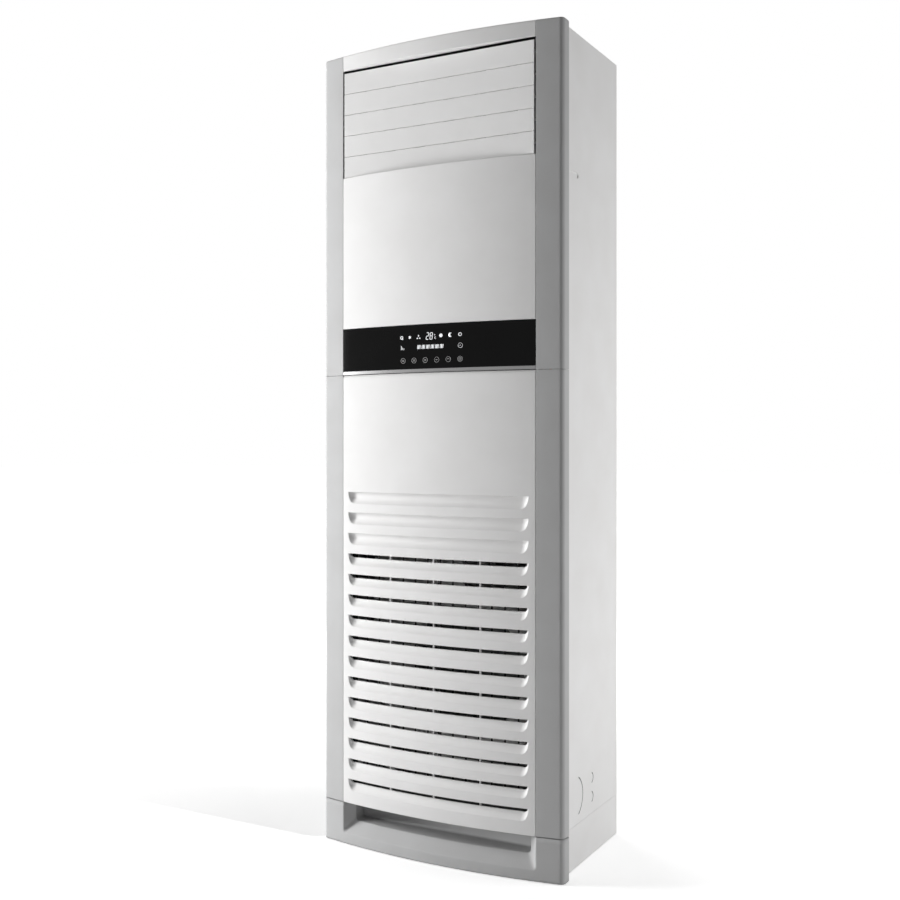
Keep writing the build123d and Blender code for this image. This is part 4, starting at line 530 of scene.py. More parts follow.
class Pattern(Enum):
    """What a finish shows close up."""

    GRAIN = "fine moulded grain"
    PEEL = "orange peel of sprayed paint"
    SPANGLE = "zinc crystals"
    DRAWN = "streaks of drawn or rolled metal"
    FINS = "thin plates side by side"
    PORES = "cells of foam"
    TRACKS = "tracks on a circuit board"
    WEAVE = "woven threads"

    def height(self, wires: Wiring, place: Socket, scale: float) -> Socket:
        """The pattern as a height from 0 to 1.

        Args:
            wires: the material's tree.
            place: coordinates.
            scale: cells per metre.

        Returns:
            The height.
        """
        if self is Pattern.PORES:
            return wires.add("TexVoronoi", {"Scale": scale, "Vector": place}).outputs["Distance"]
        if self is Pattern.SPANGLE:
            cells = wires.add("TexVoronoi", {"Scale": scale, "Vector": place})
            return wires.add("SeparateColor", {"Color": cells.outputs["Color"]}).outputs[0]
        if self is Pattern.DRAWN:
            return wires.noise(wires.stretched(place, (0.04, 1.0, 1.0)), scale, 2.0)
        if self is Pattern.FINS:
            return wires.waves(place, "X", scale)
        if self is Pattern.WEAVE:
            across, upright = (wires.waves(place, way, scale) for way in ("X", "Z"))
            return wires.maths("MAXIMUM", across, upright)
        if self is Pattern.TRACKS:
            return wires.waves(wires.stretched(place, (1.0, 0.0, 1.0)), "DIAGONAL", scale)
        return wires.noise(place, scale, 1.5 if self is Pattern.PEEL else 3.0)


def level(grey: float, warm: float = 0.0) -> Colour:
    """A linear colour near grey, slightly warmer or cooler."""
    return (grey * (1 + warm), grey, grey * (1 - warm))


@dataclass(frozen=True)
class PaintedCutShade:
    """Painted shade along an arc cut through a side sheet: a dark band put in the colour where the
    cut's shadow falls, in metres.
    """

    y: float
    z: float
    radius: float
    spread_degrees: float
    half: Pair = (0.0011, 0.0017)
    fade: float = 0.0004
    # dark colour of the painted shade beside the cut
    colour: Colour = level(0.06)

    def mask(self, wires: Wiring, place: Socket) -> Socket:
        """Share of the painted shade at a point.

        It is 1 where the distance from the arc's centre is near its radius and the point
        is in front of the arc's ends, else 0.

        Args:
            wires: the material's tree.
            place: coordinates.

        Returns:
            The share.
        """
        apart = wires.add("SeparateXYZ", {"Vector": place}).outputs
        flat = wires.add("CombineXYZ", {"Y": apart["Y"], "Z": apart["Z"]}).outputs["Vector"]
        away = wires.add("VectorMath", {0: flat, 1: (0.0, self.y, self.z)})
        away.operation = "DISTANCE"
        near, far = self.half
        ends = self.y + self.radius * np.cos(np.radians(self.spread_degrees))
        outer = (self.radius + near, self.radius + far)
        inner = (self.radius - far, self.radius - near)
        outside = wires.spread(away.outputs["Value"], outer, (1.0, 0.0))
        inside = wires.spread(away.outputs["Value"], inner, (0.0, 1.0))
        ahead = wires.spread(apart["Y"], (ends - self.fade, ends + self.fade), (0.0, 1.0))
        return wires.maths("MULTIPLY", wires.maths("MULTIPLY", ahead, outside), inside)


@dataclass(frozen=True)
class Finish:
    """A material worked out from noise on the object's own coordinates, in metres."""

    name: str
    colour: Colour
    drift: Colour
    rough: Pair
    pattern: Pattern
    size: float
    relief: float
    metallic: float = 0.0
    specular: float = 0.5
    glow: float = 0.0
    cloud: float = 0.09
    painted_cut_shades: tuple[PaintedCutShade, ...] = ()
    speck: float = 0.9
    speck_share: float = 0.22

    def material(self) -> bpy.types.Material:
        """The node material, made once, and named apart from the frame's own materials.

        Returns:
            The material.
        """
        title = f"{self.name}_finish"
        if title in bpy.data.materials:
            return bpy.data.materials[title]
        made = bpy.data.materials.new(title)
        made.use_nodes = True
        made.diffuse_color = (*self.colour, 1.0)
        wires = Wiring(made.node_tree)
        place = wires.place()
        cloud = wires.noise(place, 1 / self.cloud, 3.0)
        height = self.pattern.height(wires, place, 1 / self.size)
        speck = tuple(channel * self.speck for channel in self.colour)
        low_share = wires.spread(height, (0.0, 1.0), (self.speck_share, 0.0))
        colour = wires.blend(wires.spread(cloud, (0.3, 0.7), (0.0, 1.0)), self.colour, self.drift)
        colour = wires.blend(low_share, colour, speck)
        # painted shade: a darker colour in a thin band along each cut in the side sheet
        for cut in self.painted_cut_shades:
            colour = wires.blend(cut.mask(wires, place), colour, cut.colour)
        bump = wires.add("Bump", {"Distance": self.relief, "Strength": 1.0, "Height": height})
        shader = wires.fill(made.node_tree.nodes["Principled BSDF"], {
            "Base Color": colour,
            "Roughness": wires.spread(wires.maths("ADD", cloud, height), (0.6, 1.4), self.rough),
            "Normal": bump.outputs["Normal"],
            "Metallic": self.metallic,
            "Specular IOR Level": self.specular,
        })
        if self.glow:
            wires.fill(shader, {"Emission Color": self.colour, "Emission Strength": self.glow})
        return made


MATT, SATIN = (0.62, 0.72), (0.42, 0.55)
WHITE_PLASTIC = Finish(
    "white_plastic", level(0.86, 0.004), level(0.83, 0.006), MATT,
    Pattern.GRAIN, 0.0011, 0.00004, specular=0.12,
)
SILVER_PLASTIC = Finish(
    "silver_plastic", level(0.54, -0.004), level(0.51), MATT,
    Pattern.GRAIN, 0.0008, 0.00004, specular=0.15,
)
WHITE_STEEL = Finish(
    "white_painted_steel", level(0.84, 0.004), level(0.80, 0.01), (0.34, 0.44),
    Pattern.PEEL, 0.0022, 0.00005,
)
# side sheets with painted shade along their knock-out cuts
SIDE_STEEL_WITH_PAINTED_SHADE = replace(WHITE_STEEL, name="cut_white_steel", painted_cut_shades=(
    PaintedCutShade(-0.06597, 0.15600, 0.046, 62),
    PaintedCutShade(0.03003, 0.13300, 0.012, 72),
    PaintedCutShade(0.03003, 0.17600, 0.012, 72),
))
BLACK_GLOSS = Finish(
    "black_glossy_plastic", level(0.002), level(0.003), (0.05, 0.09),
    Pattern.GRAIN, 0.003, 0.000002, specular=0.08,
)
BLACK_PLASTIC = Finish(
    "black_plastic", level(0.02), level(0.028), (0.5, 0.62), Pattern.GRAIN, 0.0008, 0.00005,
)
DARK_PLASTIC = Finish(
    "dark_plastic", level(0.05), level(0.04), (0.45, 0.6), Pattern.GRAIN, 0.001, 0.00005,
)
GREY_PLASTIC = Finish(
    "grey_plastic", level(0.3), level(0.26), SATIN, Pattern.GRAIN, 0.001, 0.00004,
)
CHROME = Finish(
    "chrome_trim", level(0.24), level(0.2), (0.26, 0.32),
    Pattern.DRAWN, 0.0006, 0.000004, metallic=1.0,
)
GALVANISED = Finish(
    "galvanised_steel", level(0.5, -0.01), level(0.42), (0.34, 0.52),
    Pattern.SPANGLE, 0.012, 0.00002, metallic=1.0,
)
BRIGHT_STEEL = Finish(
    "bright_steel", level(0.62), level(0.55), (0.2, 0.34),
    Pattern.DRAWN, 0.0008, 0.00001, metallic=1.0,
)
WHITE_FOAM = Finish(
    "white_foam", level(0.8), level(0.74, 0.01), (0.8, 0.95), Pattern.PORES, 0.0035, 0.0004,
)
FIN_ALUMINIUM = Finish(
    "fin_aluminium", level(0.6), level(0.5), (0.3, 0.45),
    Pattern.FINS, 0.0157, 0.0006, metallic=0.9,
)
COPPER = Finish(
    "copper", (0.72, 0.33, 0.2), (0.56, 0.24, 0.14), (0.24, 0.42),
    Pattern.DRAWN, 0.0015, 0.00002, metallic=1.0, cloud=0.04,
)
RUBBER = Finish(
    "black_rubber", level(0.018), level(0.03), (0.7, 0.85), Pattern.GRAIN, 0.0012, 0.0001,
)
GREY_HOSE = Finish(
    "grey_hose", level(0.42), level(0.36), (0.5, 0.62), Pattern.GRAIN, 0.002, 0.00006,
)
BOARD = Finish(
    "circuit_board", (0.02, 0.16, 0.06), (0.015, 0.11, 0.05), (0.3, 0.45),
    Pattern.TRACKS, 0.03, 0.00005,
)
FILTER_MESH = Finish(
    "filter_mesh", level(0.07), level(0.05), (0.6, 0.75), Pattern.WEAVE, 0.012, 0.0003,
)
DARK_METAL = Finish(
    "dark_painted_metal", level(0.06), level(0.045), (0.4, 0.55),
    Pattern.PEEL, 0.002, 0.00005, metallic=0.2,
)
LAMP_WHITE = Finish(
    "lamp_white", level(0.9, -0.02), level(0.86, -0.02), (0.4, 0.5),
    Pattern.GRAIN, 0.0006, 0.000005, glow=0.3,
)
# painted light: the printed key rings get a faint glow of their own, though they are no lamp
KEY_PRINT = Finish(
    "key_print", level(0.34), level(0.26), (0.35, 0.5),
    Pattern.GRAIN, 0.0006, 0.000005, glow=0.06,
)
EVERY_FINISH = {
    finish.name: finish
    for finish in (
        WHITE_PLASTIC, SILVER_PLASTIC, WHITE_STEEL, BLACK_GLOSS, BLACK_PLASTIC, DARK_PLASTIC,
        GREY_PLASTIC, CHROME, GALVANISED, BRIGHT_STEEL, WHITE_FOAM, FIN_ALUMINIUM, COPPER,
        RUBBER, GREY_HOSE, BOARD, FILTER_MESH, DARK_METAL,
    )
}


class Assembly:
    """What every sub-assembly can do with its surfaces."""

    def put(
        self,
        surface: Surface,
        name: str,
        finish: Finish,
        body: str,
        nodes: list[str],
        slot: str = "",
    ) -> bpy.types.Object:
        """Makes a piece, dresses it and ties it to the frame.

        Args:
            surface: its points and faces.
            name: the piece's name.
            finish: its finish.
            body: the body it rides on.
            nodes: the nodes it stands for.
            slot: not used.

        Returns:
            The finished object.
        """
        made = surface.piece(name)
        made.data.materials.append(finish.material())
        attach(made, body)
        if nodes:
            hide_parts(*nodes)
        LOG.info("%s: %d points on %s", name, len(surface.points), body)
        return made

    @staticmethod
    def turn_outward(made: bpy.types.Object, front_y: float = -0.16) -> None:
        """Makes the faces of a sheet agree, with those of the front facing forwards.

        Args:
            made: the piece.
            front_y: the front's faces lie before it, in metres.
        """
        sheet = bmesh.new()
        sheet.from_mesh(made.data)
        bmesh.ops.recalc_face_normals(sheet, faces=sheet.faces)
        front = [face for face in sheet.faces if face.calc_center_median().y < front_y]
        if sum(face.normal.y * face.calc_area() for face in front) > 0:
            bmesh.ops.reverse_faces(sheet, faces=sheet.faces)
        sheet.to_mesh(made.data)
        sheet.free()
        made.data.shade_smooth()


# ------------------------------------------------------------ pillars
@dataclass
class Pillars(Assembly):
    """The four silver pillars at the front corners."""

    wall: float = 2.8
    cap_in: float = 8.0
    cap_round: float = 5.0
    edge: float = 0.5
    low: float = 98.3
    split: Pair = (1093.1, 1093.9)
    top: float = 1840.0
    lip_x: Pair = (291.5, 305.6)
    lip_drop: float = 6.0

    def skin(self, low: float, high: float, capped: bool) -> Surface:
        """The wall of one right-hand pillar: its section carried round the corner.

        Args:
            low: its foot.
            high: its head.
            capped: whether the head is closed, with a rounded edge.

        Returns:
            The closed wall, with the plate that closes the head.
        """
        wall, deep, edge = self.wall, self.cap_in, self.edge
        if not capped:
            return FORM.cornered(soften([(0, low), (0, high), (wall, high), (wall, low)], edge))
        under = high - wall
        corners = [(0, low), (0, high), (deep, high), (deep, under), (wall, under), (wall, low)]
        section = soften(corners, [edge, self.cap_round, SHARP, SHARP, edge, edge], 6)
        return Surface.joined([FORM.cornered(section), FORM.corner_plate(deep, under, high)])

    def back_lip(self, low: float, high: float) -> Surface:
        """The lip along a pillar's back edge that meets the side sheet."""
        lip_y = (FORM.pillar_back - self.wall, FORM.pillar_back)
        return box(self.lip_x, lip_y, (low + self.edge, high - self.lip_drop), 0.3)

    def build(self) -> None:
        """Makes the four pillars."""
        lower, upper = (self.low, self.split[0]), (self.split[1], self.top)
        for part, (low, high) in {"upper": upper, "lower": lower}.items():
            skin = self.skin(low, high, part == "upper")
            right = Surface.joined([skin, self.back_lip(low, high)])
            for side, surface in (("right", right), ("left", right.mirrored())):
                node = f"pillar_{part}_{side}"
                self.put(surface, f"{node}_shell", SILVER_PLASTIC, "cabinet", [node])


@dataclass
class TopTrim(Assembly):
    """The white strip over the louvres, with the plate that closes the top."""

    low: float = 1804.0
    high: float = 1840.0
    wall: float = 2.8
    top_round: float = 5.0
    ledge_in: float = 1.2
    ledge_back: float = -173.5
    ledge_share: float = 0.998

    def build(self) -> None:
        """An angle section carried across as far as the cabinet, and a ledge over the blades."""
        low, high, wall = self.low, self.high, self.wall
        under = high - wall
        corners = [(0, low), (0, high), (FLAT, high), (FLAT, under), (wall, under), (wall, low)]
        strip = FORM.bowed(soften(corners, [1.0, self.top_round, SHARP, SHARP, 0.5, SHARP], 6), 0.4)
        x = np.linspace(-FORM.panel_half, FORM.panel_half, 61) * self.ledge_share
        front = np.stack([x, FORM.bow(x, self.ledge_in)], axis=1)
        outline = np.concatenate([front, [[x[-1], self.ledge_back], [x[0], self.ledge_back]]])
        ledge = prism(outline, (low + SHARP, low + wall), 2, SHARP)
        both = Surface.joined([strip, ledge])
        self.put(both, "top_trim_strip", WHITE_PLASTIC, "cabinet", ["top_trim"])


# ------------------------------------------------------------ plinth
@dataclass
class Plinth(Assembly):
    """The silver foot with its bevelled finger recess."""

    low: float = 2.0
    top: float = 96.2
    edge_low: float = 26.0
    floor: float = 52.0
    rim_in: float = 25.0
    back_in: float = 76.0
    half: float = 246.0
    rim_half: float = 225.0
    corner: float = 9.0
    border: float = 9.0
    edge_round: float = 2.6
    rim_round: float = 2.2
    wall: float = 2.4
    shelf: float = 2.8
    shelf_in: float = 2.6

    def rows(self) -> np.ndarray:
        """Rows from the face into the recess.

        The face turns into the bevel over a parabola, the bevel into the tunnel over another.

        Returns:
            Each row's spread at the ends, its spread at the floor and its depth in.
        """
        face = np.array([(self.border, 0.0), (self.edge_round + 0.8, 0.0)])
        inner = np.array([self.edge_low - self.floor, self.rim_in])
        down = inner / np.hypot(*inner)
        share = np.linspace(0, 1, 7)[:, None]
        edge = self.edge_round
        first = (1 - share) ** 2 * np.array([edge, 0.0]) + share**2 * edge * down
        middle = np.linspace(0.12, 0.88, 7)[:, None] * inner
        back = self.rim_round
        second = inner + (1 - share) ** 2 * -back * down + share**2 * np.array([0.0, back])
        depths = np.linspace(self.rim_in + 3.5, self.back_in, 8)
        tunnel = np.stack([np.full(8, inner[0]), depths], axis=1)
        rows = np.concatenate([face, first, middle, second, tunnel])
        spread = rows[:, 0]
        slope = spread * (self.half - self.rim_half) / (self.floor - self.edge_low)
        return np.stack([np.where(spread > 0, spread, slope), spread, rows[:, 1]], axis=1)

    def u_loop(self, side: np.ndarray, below: np.ndarray) -> tuple[np.ndarray, np.ndarray]:
        """X and height along a U: down the left end, along the floor, up the right end.

        Each lower corner is a parabola that starts a reach before the corner.

        Args:
            side: how far the ends lie outside the recess's own edge, one for each row.
            below: how far the floor lies below it.

        Returns:
            X and height, rows by places.
        """
        half = (self.half + side)[:, None]
        floor = (self.edge_low - below)[:, None]
        reach = self.corner
        up = np.linspace(1, 0, 7)[None]
        share = np.linspace(0, 1, 9)[None, 1:-1]
        along = np.linspace(-1, 1, 61)[None]
        side_z = floor + reach + up * (self.top - floor - reach)
        turn_x = half - reach * share**2
        turn_z = floor + reach * (1 - share) ** 2
        flat_x = along * (half - reach)
        x = [-half + 0 * side_z, -turn_x, flat_x, turn_x[:, ::-1], half + 0 * side_z]
        z = [side_z, turn_z, floor + 0 * along, turn_z[:, ::-1], side_z[:, ::-1]]
        return np.concatenate(x, axis=1), np.concatenate(z, axis=1)

    def recess(self) -> Surface:
        """The recess: rows of the U, each a depth in from the bow, that turn flat at its back.

        Returns:
            The sheet, closed at the back by a flat cap.
        """
        side, below, depths = self.rows().T
        x, z = self.u_loop(side, below)
        depth = depths[:, None] + 0 * x
        flat = FORM.centre_y - FORM.radius + self.back_in
        share = np.clip((depth - self.rim_in) / (self.back_in - self.rim_in), 0, 1)
        inward = FORM.bow(x, self.rim_in) * (1 - share) + flat * share
        y = np.where(depth > self.rim_in, inward, FORM.bow(x, depth))
        sheet = grid(np.stack([x, y, z], axis=-1))
        sheet.caps = [np.arange(x.size - x.shape[1], x.size)[::-1]]
        return sheet

    def face(self) -> Surface:
        """The face under and beside the recess, as far as the rounded corners and the back.

        Under the recess the face is a grid of x and height on the bow, and beside it the
        same heights run round the corner.

        Returns:
            The open sheet of both sides and the band between.
        """
        border = np.array([self.border])
        x, z = (line[0] for line in self.u_loop(border, border))
        bottom = np.linspace(0, 1, 5)[:, None]
        under = slice(6, len(x) - 6)
        low_z = z[under] + bottom * (self.low - z[under])
        low_x = np.broadcast_to(x[under], low_z.shape)
        band = grid(np.stack([low_x, FORM.bow(low_x), low_z], axis=-1))
        heights = np.concatenate([z[-7:], np.linspace(z[-7], self.low, 5)[1:]])
        heights = np.sort(heights)[::-1]
        flush = np.zeros((FORM.places, len(heights)))
        round_x, round_y = FORM.round_corner(flush, self.half + self.border)
        side = grid(np.stack([round_x, round_y, heights + flush], axis=-1))
        return Surface.joined([band, side.with_mirror()])

    def build(self) -> None:
        """Joins the face and the recess, gives them their wall, and adds the two shelves."""
        surface = Surface.joined([self.face(), self.recess()]).welded()
        made = self.put(surface, "plinth_shell", SILVER_PLASTIC, "cabinet", ["plinth"])
        self.turn_outward(made)
        wall = made.modifiers.new("wall", "SOLIDIFY")
        wall.thickness = self.wall * MM
        wall.offset = -1.0
        shelf = FORM.corner_plate(self.shelf_in, self.top - self.shelf, self.top)
        self.put(shelf.with_mirror(), "plinth_shelves", SILVER_PLASTIC, "cabinet", [])


# ------------------------------------------------------------ louvres
@dataclass
class Louvres(Assembly):
    """Five flat blades on level pins, with their levers."""

    count: int = 5
    pitch: float = 48.8
    top: float = 1798.0
    gap: float = 0.9
    wall: float = 2.6
    half: float = 242.8
    face_y: float = -176.58
    axis_y: float = -165.98
    rib_half: float = 1.0
    rib_depth: float = 5.0
    rib_end: float = 8.0
    ear_x: float = 240.8
    ear_wall: float = 3.0
    ear_round: float = 5.0
    pin: float = 3.0
    pin_ends: Pair = (-248.4, 252.0)
    lever: float = 14.0
    lever_round: float = 4.5
    lever_x: Pair = (249.0, 252.0)
    crank_pin: float = 2.0
    crank_pin_x: Pair = (251.0, 259.0)
    crank_step: float = 9.9

    def blade(self, axis_z: float) -> Surface:
        """One blade: its plate and stiffener, its ears, pins and lever.

        Args:
            axis_z: height of its pins.

        Returns:
            All of its solids together.
        """
        reach = (self.pitch - self.gap) / 2
        low, high = axis_z - reach, axis_z + reach
        face, back, half = self.face_y, self.face_y + self.wall, self.half
        plate = soften([(face, low), (face, high), (back, high), (back, low)], [0.9, 0.9, 0.4, 0.4])
        front, thick = back - 1, self.rib_half
        rib_low, rib_high, rib_back = axis_z - thick, axis_z + thick, back + self.rib_depth
        rib = [(front, rib_low), (front, rib_high), (rib_back, rib_high), (rib_back, rib_low)]
        parts = [
            prism(plate, (-half, half), 0, 0.5),
            prism(soften(rib, 0.3), (self.rib_end - half, half - self.rib_end), 0, 0.2),
        ]
        axis, tall = (self.axis_y, axis_z), self.ear_round
        root = [(front, axis_z - tall), (front, axis_z + tall)]
        ear = np.concatenate([root, arc(axis, tall, 90, -90, 17)])
        for side in (-1, 1):
            run = (side * (self.ear_x - self.ear_wall), side * self.ear_x)
            parts.append(prism(ear, run, 0))
        pin = circle(axis, self.pin)
        left, right = self.pin_ends
        parts.append(prism(pin, (self.ear_x - 1, right), 0))
        parts.append(prism(pin, (1 - self.ear_x, left), 0))
        parts.append(prism(self.lever_outline(axis), self.lever_x, 0))
        crank = (self.axis_y + self.crank_step, axis_z + self.crank_step)
        parts.append(prism(circle(crank, self.crank_pin, 20), self.crank_pin_x, 0))
        return Surface.joined(parts)

    def lever_outline(self, axis: Pair) -> np.ndarray:
        """A lever: two half circles joined by straight sides, turned up by 45 degrees.

        Args:
            axis: Y and height of the blade's pins.

        Returns:
            The outline, points by two.
        """
        outer = arc((self.lever, 0), self.lever_round, -90, 90, 13)
        inner = arc((0, 0), self.lever_round, 90, 270, 13)
        turn = np.sqrt(0.5) * np.array([[1, 1], [-1, 1]])
        return np.concatenate([outer, inner]) @ turn + np.array(axis)

    def build(self) -> None:
        """Makes the five blades, from the top one down."""
        for number in range(self.count):
            axis_z = self.top - self.pitch * (number + 0.5)
            node, body = f"louvre_blade_{number + 1}", f"louvre_{number + 1}"
            self.put(self.blade(axis_z), f"{node}_shape", WHITE_PLASTIC, body, [node])


# ------------------------------------------------------------ upper panel and display
@dataclass
class UpperPanel(Assembly):
    """The plain bowed panel between the louvres and the display."""

    low: float = 1201.4
    high: float = 1553.6
    wall: float = 3.0
    flange: float = 2.8
    flange_in: float = 18.0
    side_depth: float = 16.0
    boss_x: float = 180.0
    boss_in: float = 60.0
    boss: float = 5.0
    boss_back: float = -150.4

    def build(self) -> None:
        """A channel section carried across, with side flanges and four bosses."""
        low, high, wall, flange, deep = self.low, self.high, self.wall, self.flange, self.flange_in
        corners = [
            (0, low), (0, high), (deep, high), (deep, high - flange),
            (wall, high - flange), (wall, low + flange), (deep, low + flange), (deep, low),
        ]
        section = soften(corners, [1.2, 1.2, 0.4, 0.4, 0.5, 0.5, 0.4, 0.4])
        half = FORM.panel_half
        side_y = (FORM.bow_at(half, 1.4), FORM.bow_at(half) + self.side_depth)
        side = box((half - flange, half - 0.1), side_y, (low + 1, high - 1))
        parts = [FORM.bowed(section, 0.8), side.with_mirror()]
        for x in (-self.boss_x, self.boss_x):
            for z in (low + self.boss_in, high - self.boss_in):
                run = (FORM.bow_at(x, 1.5), self.boss_back)
                parts.append(prism(circle((x, z), self.boss), run, 1))
        surface = Surface.joined(parts)
        self.put(surface, "upper_panel_shell", WHITE_PLASTIC, "cabinet", ["upper_front_panel"])


class Segment(Enum):
    """The seven strokes of a figure, as their two ends in halves of its width and height."""

    TOP = ((-1, 1), (1, 1))
    UPPER_RIGHT = ((1, 1), (1, 0))
    LOWER_RIGHT = ((1, 0), (1, -1))
    BOTTOM = ((-1, -1), (1, -1))
    LOWER_LEFT = ((-1, 0), (-1, -1))
    UPPER_LEFT = ((-1, 1), (-1, 0))
    MIDDLE = ((-1, 0), (1, 0))


@dataclass
class Display(Assembly):
    """The black window, the bright strip under it, lit marks and printed keys."""

    low: float = 1102.2
    high: float = 1200.6
    glass_in: float = 0.35
    glass_back: float = 3.0
    strip: Pair = (1094.3, 1101.8)
    strip_back: float = 0.8
    mark_in: float = 0.12
    mark_back: float = 0.6
    key_z: float = 1121.0
    key_pitch: float = 29.1
    key_count: int = 6
    key_stroke: float = 1.2
    figure_half: Pair = (2.95, 7.4)
    figure_z: float = 1174.1
    figure_x: Pair = (-8.6, 0.9)
    figure_stroke: float = 1.45
    figure_gap: float = 0.35
    lean: float = 0.1
    bar_z: Pair = (1146.2, 1155.0)
    bar_lean: float = 1.2

    def laid(self, outline: np.ndarray) -> Surface:
        """A thin closed plate that follows the window, its front a little proud of the glass.

        Its sections, back to front, are the outline, the outline again, the outline drawn
        to 0.97 of its size about its middle, and the same drawn to a half.

        Args:
            outline: points by two, x and height.

        Returns:
            The closed plate, faces outwards.
        """
        depths = np.array([self.mark_back, self.mark_in + 0.03, self.mark_in, self.mark_in])
        shrink = np.array([1.0, 1.0, 0.97, 0.5])
        centre = outline.mean(0)
        flat = centre + (outline - centre)[None] * shrink[:, None, None]
        x, z = flat[..., 0], flat[..., 1]
        return carried(np.stack([x, FORM.bow(x, depths[:, None]), z], axis=-1))

    def ring(
        self, centre: Pair, outer: float, inner: float, start: float = 0.0, turn: float = 360.0
    ) -> Surface:
        """A ring, or an arc of one, as four circles: outer and inner, at the back and front.

        Args:
            centre: its centre, x and height.
            outer: outer radius.
            inner: inner radius.
            start: angle where it begins, in degrees.
            turn: how far it goes round.

        Returns:
            The closed solid, faces outwards.
        """
        sides, whole = 40, turn >= 360.0
        angle = np.radians(start + np.linspace(0, turn, sides, endpoint=not whole))
        radii = np.array([outer, outer, inner, inner])[:, None]
        depths = np.array([self.mark_back, self.mark_in, self.mark_in, self.mark_back])[:, None]
        x = centre[0] + radii * np.cos(angle)
        z = centre[1] + radii * np.sin(angle)
        points = np.stack([x, FORM.bow(x, depths), z], axis=-1)
        body = grid(np.concatenate([points, points[:1]]), closed=whole)
        if not whole:
            around = np.arange(4) * sides
            body.caps = [around[::-1], around + sides - 1]
        return body.welded().outward()

    def stroke(self, start: Pair, end: Pair, width: float) -> Surface:
        """A stroke between two points, with ends pointed over 0.35 of its width.

        Args:
            start: one tip, x and height.
            end: the other tip.
            width: how wide it is.

        Returns:
            The closed plate, faces outwards.
        """
        start, end = np.array(start, float), np.array(end, float)
        along = (end - start) / np.linalg.norm(end - start)
        across = np.array([-along[1], along[0]]) * width / 2
        tip = along * width * 0.35
        upper = [start + tip + across, end - tip + across]
        lower = [end - tip - across, start + tip - across]
        return self.laid(np.array([start, *upper, end, *lower]))

    def figure(self, centre: Pair, segments: list[Segment]) -> list[Surface]:
        """A figure of seven strokes, leaning right by a tenth of the height above its middle.

        Args:
            centre: its middle, x and height.
            segments: the strokes that are lit.

        Returns:
            A plate for each stroke.
        """
        made = []
        for segment in segments:
            start, end = np.array(segment.value) * np.array(self.figure_half)
            gap = (end - start) / np.linalg.norm(end - start) * self.figure_gap
            ends = np.array([start + gap, end - gap])
            ends[:, 0] += self.lean * ends[:, 1]
            made.append(self.stroke(*(ends + centre), self.figure_stroke))
        return made

    def marks(self) -> Surface:
        """The lit marks: two figures with a degree sign, small signs, level bars and blocks.

        Returns:
            All of their plates together.
        """
        every = sorted(Segment, key=lambda item: item.name)
        two = [item for item in Segment if item.name not in ("UPPER_LEFT", "LOWER_RIGHT")]
        tens, ones = ((x, self.figure_z) for x in self.figure_x)
        parts = self.figure(tens, two) + self.figure(ones, every)
        parts += [
            self.ring((-76.5, 1173.0), 3.9, 2.1),
            self.stroke((-75.6, 1170.8), (-72.6, 1168.6), 1.5),
            *self.flower((-54.8, 1173.0), 6, 1.9, (1.9, 0.9)),
            *self.flower((-31.9, 1172.0), 3, 3.7, (1.8, 1.5)),
            self.laid(circle((25.4, 1174.2), 4.2, 36)),
            self.crescent((49.2, 1174.6), 5.0),
            self.ring((72.8, 1174.9), 4.2, 2.7),
            self.ring((9.6, 1176.4), 1.4, 0.7),
            self.ring((11.6, 1169.6), 2.4, 1.5, 50, 260),
            self.ring((73.4, 1150.7), 5.6, 5.0),
            self.stroke((71.6, 1150.7), (75.2, 1150.7), 0.9),
        ]
        for number, tall in enumerate((8.4, 4.6, 3.0)):
            parts.append(self.bar(-78.2 + number * 3.4, 1.4, (1145.9, 1145.9 + tall), 0.0))
        for number in range(6):
            x = -35.6 + number * 11.6
            for start, wide in ((0.0, 1.5), (2.8, 2.6), (6.7, 1.5)):
                parts.append(self.bar(x + start, wide, self.bar_z, self.bar_lean))
        return Surface.joined(parts)

    def bar(self, x: float, wide: float, z: Pair, lean: float) -> Surface:
        """An upright bar whose head may lean to the right.

        Args:
            x: its lower left corner.
            wide: its width.
            z: heights of its foot and head.
            lean: how far its head lies to the right of its foot.

        Returns:
            The closed plate, faces outwards.
        """
        low, high = z
        corners = [(x, low), (x + wide, low), (x + wide + lean, high), (x + lean, high)]
        return self.laid(soften(corners, 0.4, 2))

    def flower(self, centre: Pair, petals: int, out: float, half: Pair) -> list[Surface]:
        """Ellipses set around a centre.

        Args:
            centre: the centre, x and height.
            petals: how many.
            out: how far each lies from it.
            half: half the length and half the width of one.

        Returns:
            The ellipses.
        """
        made = []
        line = circle((0.0, 0.0), 1.0, 20)
        for number in range(petals):
            turn = np.radians(90 + 360 * number / petals)
            way = np.array([np.cos(turn), np.sin(turn)])
            across = np.array([-way[1], way[0]])
            petal = line[:, :1] * way * half[0] + line[:, 1:] * across * half[1]
            made.append(self.laid(np.array(centre) + way * out + petal))
        return made

    def crescent(self, centre: Pair, radius: float) -> Surface:
        """A crescent: most of a circle, and back between its tips an arc moved to the right.

        Args:
            centre: centre of its outer arc, x and height.
            radius: radius of its outer arc.

        Returns:
            The closed plate, faces outwards.
        """
        outer = arc((0.0, 0.0), radius, 50, 310, 30)
        tip_x, tip_z = outer[0]
        inner_x = tip_x + 0.6
        inner_radius = np.hypot(tip_x - inner_x, tip_z)
        start = np.degrees(np.arctan2(-tip_z, tip_x - inner_x))
        end = np.degrees(np.arctan2(tip_z, tip_x - inner_x)) - 360
        inner = arc((inner_x, 0.0), inner_radius, start, end, 20)[1:-1]
        x, z = (np.array(centre) + np.concatenate([outer, inner])).T
        depths = np.array([self.mark_back, self.mark_in])[:, None]
        return carried(np.stack([x + 0 * depths, FORM.bow(x, depths), z + 0 * depths], axis=-1))

